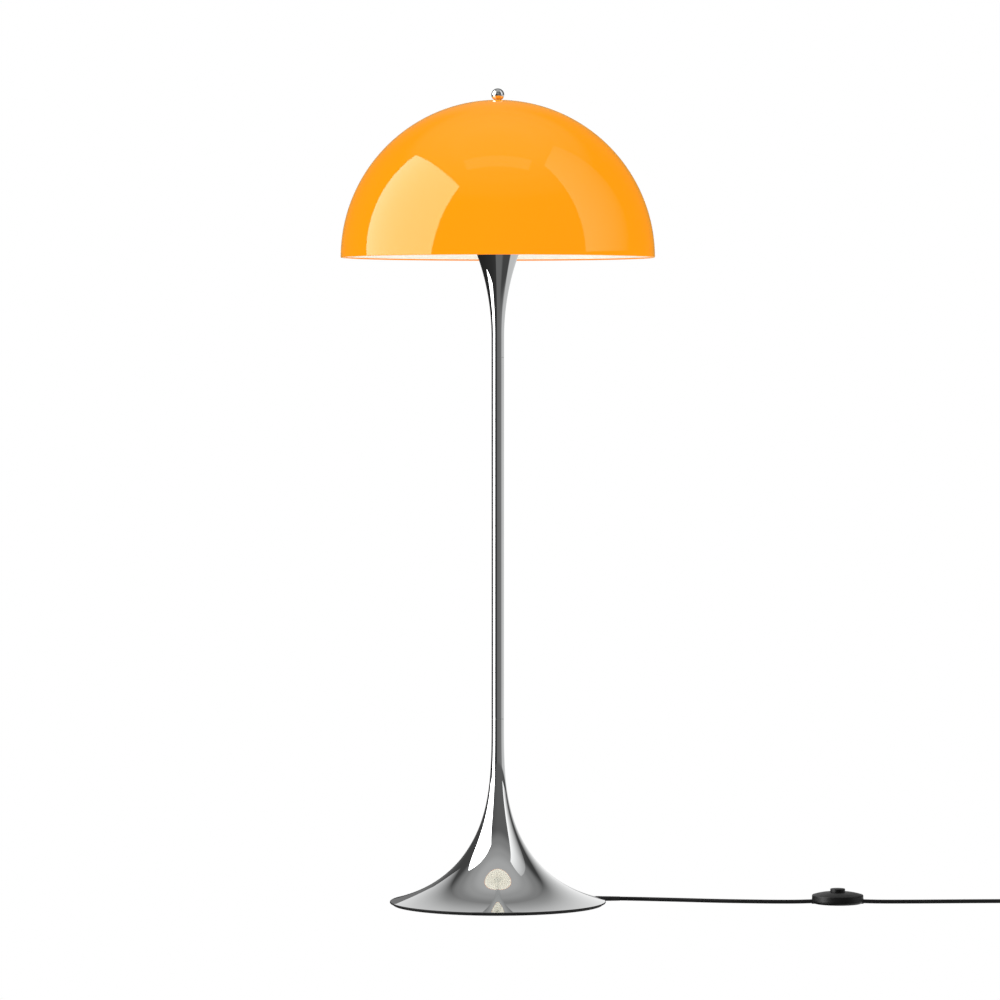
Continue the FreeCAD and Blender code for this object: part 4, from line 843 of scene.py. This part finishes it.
# ---- Foot switch -----------------------------------------------------------------------------
@dataclass
class FootSwitch:
    """Round switch on the cord: a chamfered base, a cover with a shallow roof and a push button.

    All lengths are radii and heights above the floor. The roof's points are (radius, height), the
    lip's two radii are its inner and its outer one, and the flange is its radius with its lower
    and its upper height. spring_pressed, the share of the spring left under the pressed button,
    is not used. The spring's wire has spring_steps rings in a turn, each with wire_sides vertices.
    """

    centre: Point = (0.543, 0.0055)
    radius: float = 0.041
    seam: float = 0.006
    roof_edge: Point = (0.0394, 0.015)
    roof_middle: Point = (0.0265, 0.0182)
    roof_hole: Point = (0.0123, 0.0195)
    roof_drop: float = 0.0022
    cover_inside: float = 0.0385
    lip: Point = (0.0366, 0.0383)
    lip_top: float = 0.0085
    base_top: float = 0.0028
    button_wall: float = 0.01185
    button_stem: float = 0.0025
    flange: Place = (0.014, 0.0154, 0.0168)
    spring_turns: int = 3
    spring_wire: float = 0.00045
    spring_pressed: float = 0.5
    spring_steps: int = 36
    wire_sides: int = 12

    def cover(self) -> Outline:
        """Outline of the cover: wall, rounded shoulder, shallow roof and the button's hole."""
        ease = 0.00035
        hole, top = self.roof_hole
        shoulder = self.roof_edge[1]
        outline = Outline((self.cover_inside, self.seam))
        outline.path((self.radius - ease, self.seam), (self.radius, self.seam + ease))
        outline.line((self.radius, shoulder - 0.0016), 6)
        outline.arc((self.radius - 0.00045, shoulder - 0.00045), self.roof_edge, 10)
        outline.arc(self.roof_middle, (hole + 0.0006, top), 40)
        outline.arc((hole + 0.00015, top - 0.0002), (hole, top - 0.0008), 6)
        outline.line((hole, top - self.roof_drop))
        outline.arc((self.roof_middle[0], self.roof_middle[1] - self.roof_drop),
                    (self.cover_inside, shoulder - self.roof_drop), 20)
        return outline

    def base(self) -> Outline:
        """Outline of the base: flat bottom, chamfer, short wall and the lip inside the cover."""
        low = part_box("switch_base")[0].z
        wall = self.radius - 0.0002
        lip_inside, lip_outside = self.lip
        outline = Outline((0.0, low))
        outline.line((0.037, low), 4).arc((0.0374, low + 0.0001), (0.0377, low + 0.00035), 4)
        outline.line((wall - 0.0002, 0.0040), 4)
        outline.path((wall, 0.0044), (wall, self.seam - 0.0003), (wall - 0.0003, self.seam),
                     (lip_outside, self.seam), (lip_outside, self.lip_top), (lip_inside, self.lip_top),
                     (lip_inside, self.base_top), (0.0, self.base_top))
        return outline

    def button(self) -> Outline:
        """Outline of the button: plunger, flange, wall, rounded edge and a shallow crown."""
        low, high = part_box("switch_button")
        wall, stem = self.button_wall, self.button_stem
        flange, flange_low, flange_high = self.flange
        outline = Outline((0.0, low.z))
        outline.path((stem, low.z), (stem, flange_low), (flange, flange_low), (flange, flange_high),
                     (wall, flange_high))
        outline.line((wall, high.z - 0.0019), 4)
        edge = (wall - 0.001, high.z - 0.0008)
        outline.arc((wall - 0.0003, high.z - 0.00115), edge, 10)
        rise = high.z - edge[1]
        sphere = (edge[0] ** 2 + rise ** 2) / (2 * rise)
        half = math.asin(edge[0] / sphere) / 2
        outline.arc((sphere * math.sin(half), high.z - sphere * (1 - math.cos(half))), (0.0, high.z), 24)
        return outline

    def spring(self) -> Piece:
        """Return spring: a round wire along a helix, with closed ends.

        The wire's middle goes round at an even rise, and each ring of the tube lies square to it.

        Returns:
            The spring.
        """
        low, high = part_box("switch_spring")
        wire, coil = self.spring_wire, (high.y - low.y) / 2 - self.spring_wire
        angle = np.linspace(0.0, TURN * self.spring_turns, self.spring_steps * self.spring_turns + 1)
        height = np.linspace(low.z + wire, high.z - wire, len(angle))
        out = np.stack([np.cos(angle), np.sin(angle), np.zeros(len(angle))], axis=-1)
        rise = (height[-1] - height[0]) / angle[-1]
        ahead = np.stack([-coil * out[:, 1], coil * out[:, 0], np.full(len(angle), rise)], axis=-1)
        ahead /= np.linalg.norm(ahead, axis=1)[:, None]
        side = np.cross(ahead, out)
        ring = TURN * np.arange(self.wire_sides) / self.wire_sides
        middle = out * coil + np.stack([0 * height, 0 * height, height], axis=-1) + (*self.centre, 0.0)
        around = np.cos(ring)[:, None] * out[:, None] + np.sin(ring)[:, None] * side[:, None]
        points = (middle[:, None] + wire * around).reshape(-1, 3)
        faces = tube_faces(len(angle), self.wire_sides)
        first_ring = list(range(self.wire_sides))
        last_ring = list(range(len(points) - self.wire_sides, len(points)))
        return mesh_piece("switch_spring_wire", points, [*faces, first_ring[::-1], last_ring])

    def build(self) -> list[Piece]:
        """Builds and installs the switch's outside and the spring.

        Returns:
            The new pieces.
        """
        cover = turned("foot_switch_cover", self.cover(), self.centre)
        base = turned("foot_switch_base", self.base(), self.centre)
        button = turned("foot_switch_button", self.button(), self.centre, 128)
        install(cover, SWITCH_BLACK, "switch_cover")
        install(base, SWITCH_BLACK, "switch_base")
        install(button, SWITCH_BLACK, "switch_button")
        spring = install(self.spring(), SPRING, "switch_spring")
        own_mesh(spring)
        return [cover, base, button, spring]


# ---- Cord ------------------------------------------------------------------------------------
@dataclass
class Flex:
    """Round black cord: from the foot to the switch, and from there by a coil to the plug."""

    radius: float = 0.0032
    lamp_side: tuple[Place, ...] = (
        (0.196, 0.0480, 0.0041),
        (0.221, 0.0510, 0.0034),
        (0.262, 0.0425, 0.0033),
        (0.305, 0.0325, 0.0033),
        (0.350, 0.0205, 0.0033),
        (0.400, 0.0130, 0.0033),
        (0.450, 0.0075, 0.0033),
        (0.486, 0.0055, 0.0037),
        (0.510, 0.0055, 0.0046),
    )
    plug_side: tuple[Place, ...] = (
        (0.576, 0.0055, 0.0046),
        (0.600, 0.0060, 0.0037),
        (0.642, 0.0090, 0.0033),
        (0.700, 0.0115, 0.0033),
        (0.760, 0.0155, 0.0033),
        (0.808, 0.0175, 0.0033),
        (0.842, 0.0205, 0.0033),
    )
    tail: tuple[Place, ...] = (
        (0.9103, -0.0430, 0.0236),
        (0.9098, -0.0740, 0.0166),
        (0.9075, -0.1070, 0.0094),
        (0.9040, -0.1380, 0.0070),
        (0.9040, -0.1600, 0.0070),
    )
    coil_centre: Point = (0.866, -0.022)
    coil_radius: float = 0.042
    turn_step: float = 0.0072
    layer_step: float = 0.0071
    floor_gap: float = 0.0033
    turns_per_layer: int = 2
    layers: int = 4
    last_part: float = 0.25
    points_per_turn: int = 24

    def coil_place(self, turn: float) -> Place:
        """Centre line of the coil after so many turns.

        It starts at the back and runs clockwise seen from above. The radius falls and grows in
        turn, layer by layer, at one steady rate, and eases from one to the other in the half turn
        about each change of layer, where the cord also climbs one layer.

        Args:
            turn: turns since the start.

        Returns:
            The point.
        """
        radius, height, done, slope, half = self.coil_radius, self.floor_gap, 0.0, -self.turn_step, 0.25
        for layer in range(1, self.layers):
            change = layer * self.turns_per_layer
            if turn <= change - half:
                break
            radius += slope * (change - half - done)
            part = min(turn - (change - half), 2 * half)
            radius += slope * (part - part * part / (2 * half))
            height += self.layer_step * (1 - math.cos(math.pi * part / (2 * half))) / 2
            done, slope = change + half, -slope
            if turn < done:
                done = turn
                break
        radius += slope * (turn - done)
        angle = math.pi / 2 - TURN * turn
        x, y = self.coil_centre
        return x + radius * math.cos(angle), y + radius * math.sin(angle), height

    def coil(self) -> list[Place]:
        """Points of the whole coil, evenly spaced in turns."""
        turns = self.turns_per_layer * self.layers + self.last_part
        count = round(turns * self.points_per_turn)
        return [self.coil_place(turns * index / count) for index in range(count + 1)]

    def curve(self, name: str, route: Sequence[Place]) -> Piece:
        """Round cord on a smooth spline whose control points are the route's.

        Args:
            name: name of the piece.
            route: points in metres.

        Returns:
            The curve object.
        """
        data = bpy.data.curves.new(name, "CURVE")
        data.dimensions = "3D"
        data.bevel_depth = self.radius
        data.bevel_resolution = 7
        data.use_fill_caps = True
        spline = data.splines.new("NURBS")
        spline.points.add(len(route) - 1)
        for point, place in zip(spline.points, route):
            point.co = (*place, 1.0)
        spline.order_u = 3
        spline.use_endpoint_u = True
        spline.resolution_u = 8
        return new_object(name, data)

    def build(self, switch: list[Piece], plug: list[Piece]) -> None:
        """Args:
            switch: new pieces of the switch; not used.
            plug: pieces of the plug from the frame; not used.
        """
        lamp = self.curve("flex_to_switch", self.lamp_side)
        install(lamp, FLEX, "flex_lamp_side")
        route = [*self.plug_side, *self.coil(), *self.tail]
        mains = self.curve("flex_to_plug", route)
        install(mains, FLEX, "flex_plug_side", "flex_coil", "flex_tail")


# ---- Studio ----------------------------------------------------------------------------------
@dataclass(frozen=True)
class Fade:
    """Light that falls off evenly with the distance from a point, from full to none."""

    centre: Place
    full: float
    none: float


class Sky(Graph):
    """Surroundings whose brightness depends on the way a ray goes."""

    def __init__(self, brightest: float) -> None:
        """Starts the surroundings and works out each ray's bearing.

        Args:
            brightest: brightness that a colour of 1 stands for.
        """
        super().__init__(bpy.data.worlds.new("studio"), empty=True)
        self.brightest = brightest
        self.way = self.add("ShaderNodeSeparateXYZ", {0: self.places["Generated"]}).outputs
        front = self.add("ShaderNodeMath", {0: self.way[1], 1: -1.0}, operation="MULTIPLY").outputs[0]
        bearing = self.add("ShaderNodeMath", {0: self.way[0], 1: front}, operation="ARCTAN2").outputs[0]
        lap = {"Value": bearing, "From Min": -math.pi, "From Max": math.pi}
        self.lap = self.add("ShaderNodeMapRange", lap).outputs[0]

    def grey(self, value: float) -> tuple[float, float, float, float]:
        """Neutral colour of a brightness."""
        return (value / self.brightest,) * 3 + (1.0,)

    def blend(self, share: Socket, first: object, second: object) -> Socket:
        """Colour between two colours, each given as a colour or a socket."""
        inputs = {"Fac": share, "Color1": first, "Color2": second}
        return self.add("ShaderNodeMixRGB", inputs).outputs[0]

    def tier(self, stops: Sequence[Point]) -> Socket:
        """Brightness by bearing in degrees, straight between the stops."""
        node = self.add("ShaderNodeValToRGB", {"Fac": self.lap})
        elements = node.color_ramp.elements
        for element, (angle, value) in zip(elements, (stops[0], stops[-1])):
            element.position = (angle + 180) / 360
            element.color = self.grey(value)
        for angle, value in stops[1:-1]:
            elements.new((angle + 180) / 360).color = self.grey(value)
        return node.outputs[0]

    def over(self, lower: Socket, higher: object, start: float, stop: float) -> Socket:
        """Goes from one colour to the next between two elevations.

        Args:
            lower: socket of the colour further down.
            higher: colour further up, or its socket.
            start: elevation where it starts to change, in degrees.
            stop: elevation where it has changed.

        Returns:
            Socket with the colour.
        """
        start, stop = (math.sin(math.radians(elevation)) for elevation in (start, stop))
        rise = {"Value": self.way[2], "From Min": start, "From Max": stop}
        share = self.add("ShaderNodeMapRange", rise, interpolation_type="SMOOTHSTEP").outputs[0]
        return self.blend(share, lower, higher)


@dataclass
class Studio:
    """White floor, soft light and the camera.

    A bearing goes from the front (-Y) to the right (+X), an elevation from the level up, both in
    degrees. The stops of below, level and above pair a bearing with a brightness, and those of
    ceiling an elevation; dip and horizon are the elevations between which one tier turns into the
    next. The panels' corners pair a bearing with an elevation, the strip's and the wall's are
    places. key_turn is the key light's tilt and its turn about Z.
    """

    camera_place: Place = (0.0035, -8.02, 0.868)
    camera_pitch: float = math.radians(-1.587)
    focal_length: float = 181.3
    sensor: float = 36.0
    floor_half: float = 12.0
    far: float = 30.0
    brightest: float = 1.6
    matt_light: float = 1.4
    below: tuple[Point, ...] = ((-180, 0.012), (-47, 0.03), (-15, 0.04), (-12, 0.15), (25, 0.15), (38, 0.065),
                                (80, 0.065), (87, 0.6), (180, 0.6))
    level: tuple[Point, ...] = ((-180, 0.012), (-47, 0.04), (-15, 0.04), (-12, 0.16), (25, 0.16), (35, 0.19),
                                (66, 0.19), (74, 0.6), (180, 0.62))
    above: tuple[Point, ...] = ((-180, 0.20), (-172, 0.18), (-164, 0.10), (-148, 0.06), (-120, 0.06),
                                (-47, 0.09), (0, 0.12), (66, 0.12), (100, 0.08), (135, 0.05), (165, 0.08),
                                (180, 0.20))
    dip: Point = (-24.0, -6.0)
    horizon: Point = (0.2, 1.4)
    ceiling: tuple[Point, ...] = ((38, 0.11), (50, 0.24), (60, 0.34), (72, 0.44))
    left_panel: tuple[Point, ...] = ((-93, -20), (-93, 2.6), (-111.3, 2.6), (-120.2, 48.6), (-39, 50.2),
                                     (-49.3, 2.6), (-55, 2.6), (-55, -20))
    right_panel: tuple[Point, ...] = ((67, 5), (67, 62), (116, 62), (116, 5))
    strip: tuple[Place, ...] = ((-0.135, -0.305, 1.41), (0.135, -0.305, 1.41), (0.135, -0.244, 1.41),
                                (-0.135, -0.244, 1.41))
    wall: tuple[Place, ...] = ((-0.15, 0.75, 0.05), (1.1, 0.75, 0.05), (1.1, 0.75, 1.02), (-1.1, 0.75, 1.02),
                               (-0.3, 0.75, 0.27))
    key_place: Place = (-2.6, -1.6, 3.4)
    key_turn: Point = (50.0, -58.0)
    key_size: float = 2.4
    key_power: float = 20.0

    def camera(self) -> None:
        """Long lens, almost level, in front of the lamp."""
        data = bpy.data.cameras.new("camera")
        data.lens = self.focal_length
        data.sensor_width = self.sensor
        data.sensor_fit = "HORIZONTAL"
        data.clip_end = 100.0
        camera = new_object("camera", data)
        camera.location = self.camera_place
        camera.rotation_euler = (math.pi / 2 + self.camera_pitch, 0.0, 0.0)
        bpy.context.scene.camera = camera

    @staticmethod
    def glow(name: str, strength: float, fade: Fade | None = None) -> bpy.types.Material:
        """Emissive material, as bright on one side as on the other.

        Args:
            name: name of the material.
            strength: brightness, where 1 is white.
            fade: how the light falls off over the card; even if not given.

        Returns:
            The material.
        """
        graph = Graph(bpy.data.materials.new(name), empty=True)
        surface = graph.add("ShaderNodeEmission", {"Strength": strength}).outputs[0]
        if fade is not None:
            ends = {0: graph.places["Object"], 1: fade.centre}
            away = graph.add("ShaderNodeVectorMath", ends, operation="DISTANCE").outputs["Value"]
            limits = {"From Min": fade.full, "From Max": fade.none, "To Min": 1.0, "To Max": 0.0}
            fall = graph.add("ShaderNodeMapRange", {"Value": away, **limits}).outputs[0]
            clear = graph.add("ShaderNodeBsdfTransparent").outputs[0]
            surface = graph.add("ShaderNodeMixShader", {0: fall, 1: clear, 2: surface}).outputs[0]
        graph.add("ShaderNodeOutputMaterial", {"Surface": surface})
        return graph.owner

    @staticmethod
    def card(name: str, corners: Sequence[Place], material: bpy.types.Material) -> Piece:
        """Flat card that isn't part of the object.

        Args:
            name: name of the card.
            corners: its corners.
            material: its emissive material.

        Returns:
            The card.
        """
        piece = mesh_piece(name, np.array(corners, float), [range(len(corners))])
        piece.data.materials.append(material)
        return piece

    @staticmethod
    def hide(thing: Piece, *rays: str) -> None:
        """Hides an object from some kinds of rays, such as "camera" or "glossy"."""
        for kind in rays:
            setattr(thing, f"visible_{kind}", False)

    def floor(self) -> None:
        """White floor that only the camera sees, so that it shows no horizon and no mirror image."""
        half = self.floor_half
        corners = [(-half, -half, 0.0), (half, -half, 0.0), (half, half, 0.0), (-half, half, 0.0)]
        floor = self.card("floor", corners, self.glow("floor_white", 1.0))
        self.hide(floor, "glossy", "diffuse", "shadow")

    def mirror_card(self, name: str, corners: Sequence[Place], strength: float,
                    fade: Fade | None = None) -> None:
        """Card that only shows as a reflection.

        Args:
            name: name of the card.
            corners: its corners.
            strength: brightness.
            fade: how its light falls off.
        """
        card = self.card(name, corners, self.glow(name, strength, fade))
        self.hide(card, "camera", "diffuse", "transmission", "shadow")

    def far_card(self, name: str, ways: Sequence[Point], strength: float, fade: Fade | None = None) -> None:
        """Mirror card far off, so that it lies the same way from everywhere.

        Args:
            name: name of the card.
            ways: bearing and elevation of each corner.
            strength: brightness.
            fade: how its light falls off.
        """
        bearing, elevation = np.radians(np.array(ways)).T
        level = self.far * np.cos(elevation)
        height = self.far * np.sin(elevation)
        corners = np.stack([level * np.sin(bearing), -level * np.cos(bearing), height], axis=-1)
        self.mirror_card(name, corners.tolist(), strength, fade)

    def panels(self) -> None:
        """Cards that show in the chrome and the lacquer.

        A tall bright panel on the left, narrower below the horizon, a dimmer one on the right that
        fades backwards, a small strip above the shade's front, and a low pale wall close behind
        that fades outwards from the foot.
        """
        self.far_card("panel_left", self.left_panel, 3.75)
        self.far_card("panel_right", self.right_panel, 1.25, Fade((15.0, -90.0, 12.0), 82.0, 102.0))
        self.mirror_card("strip_above", self.strip, 0.75)
        self.mirror_card("wall_behind", self.wall, 0.92, Fade((0.05, 0.75, 0.0), 0.2, 1.05))

    def sky(self) -> None:
        """Surroundings: white to the camera, even light on matt surfaces, a studio in reflections.

        The studio is a brightness by bearing in three tiers: below the horizon, level and above
        it. Higher up it only depends on the elevation.
        """
        sky = Sky(self.brightest)
        bpy.context.scene.world = sky.owner
        if hasattr(sky.owner, "cycles"):
            sky.owner.cycles.sampling_method = "NONE"
        room = sky.over(sky.tier(self.below), sky.tier(self.level), *self.dip)
        room = sky.over(room, sky.tier(self.above), *self.horizon)
        for (start, _), (stop, value) in zip(self.ceiling, self.ceiling[1:]):
            room = sky.over(room, sky.grey(value), start, stop)
        rays = sky.add("ShaderNodeLightPath").outputs
        seen = sky.blend(rays["Is Glossy Ray"], sky.grey(self.matt_light), room)
        seen = sky.blend(rays["Is Camera Ray"], seen, sky.grey(1.0))
        background = sky.add("ShaderNodeBackground", {"Color": seen, "Strength": self.brightest})
        sky.add("ShaderNodeOutputWorld", {"Surface": background.outputs[0]})

    def key_light(self) -> None:
        """Large soft light from the upper left that matt surfaces feel and mirrors don't show."""
        data = bpy.data.lights.new("key", "AREA")
        data.shape = "RECTANGLE"
        data.size = data.size_y = self.key_size
        data.energy = self.key_power
        light = new_object("key", data)
        light.location = self.key_place
        tilt, turn = map(math.radians, self.key_turn)
        light.rotation_euler = (tilt, 0.0, turn)
        self.hide(light, "glossy", "camera")

    def build(self) -> None:
        """Sets up the floor, the light and the camera."""
        self.camera()
        self.floor()
        self.panels()
        self.sky()
        self.key_light()
        bpy.context.scene.view_settings.view_transform = "Standard"


def main() -> None:
    """Builds the lamp's looks and its studio, one sub-assembly after the other."""
    logging.basicConfig(level=logging.INFO, format="%(message)s")
    Studio().build()
    dress_nodes()
    Foot().build()
    Column().build()
    Shade().build()
    Finial().build()
    Bulb().build()
    switch = FootSwitch().build()
    nodes = frame["nodes"]
    plug = [nodes[name] for name in ("plug_boot", "plug_body", "plug_pins", "plug_pin_sleeves")]
    Flex().build(switch, plug)


if __name__ == "__main__":
    main()
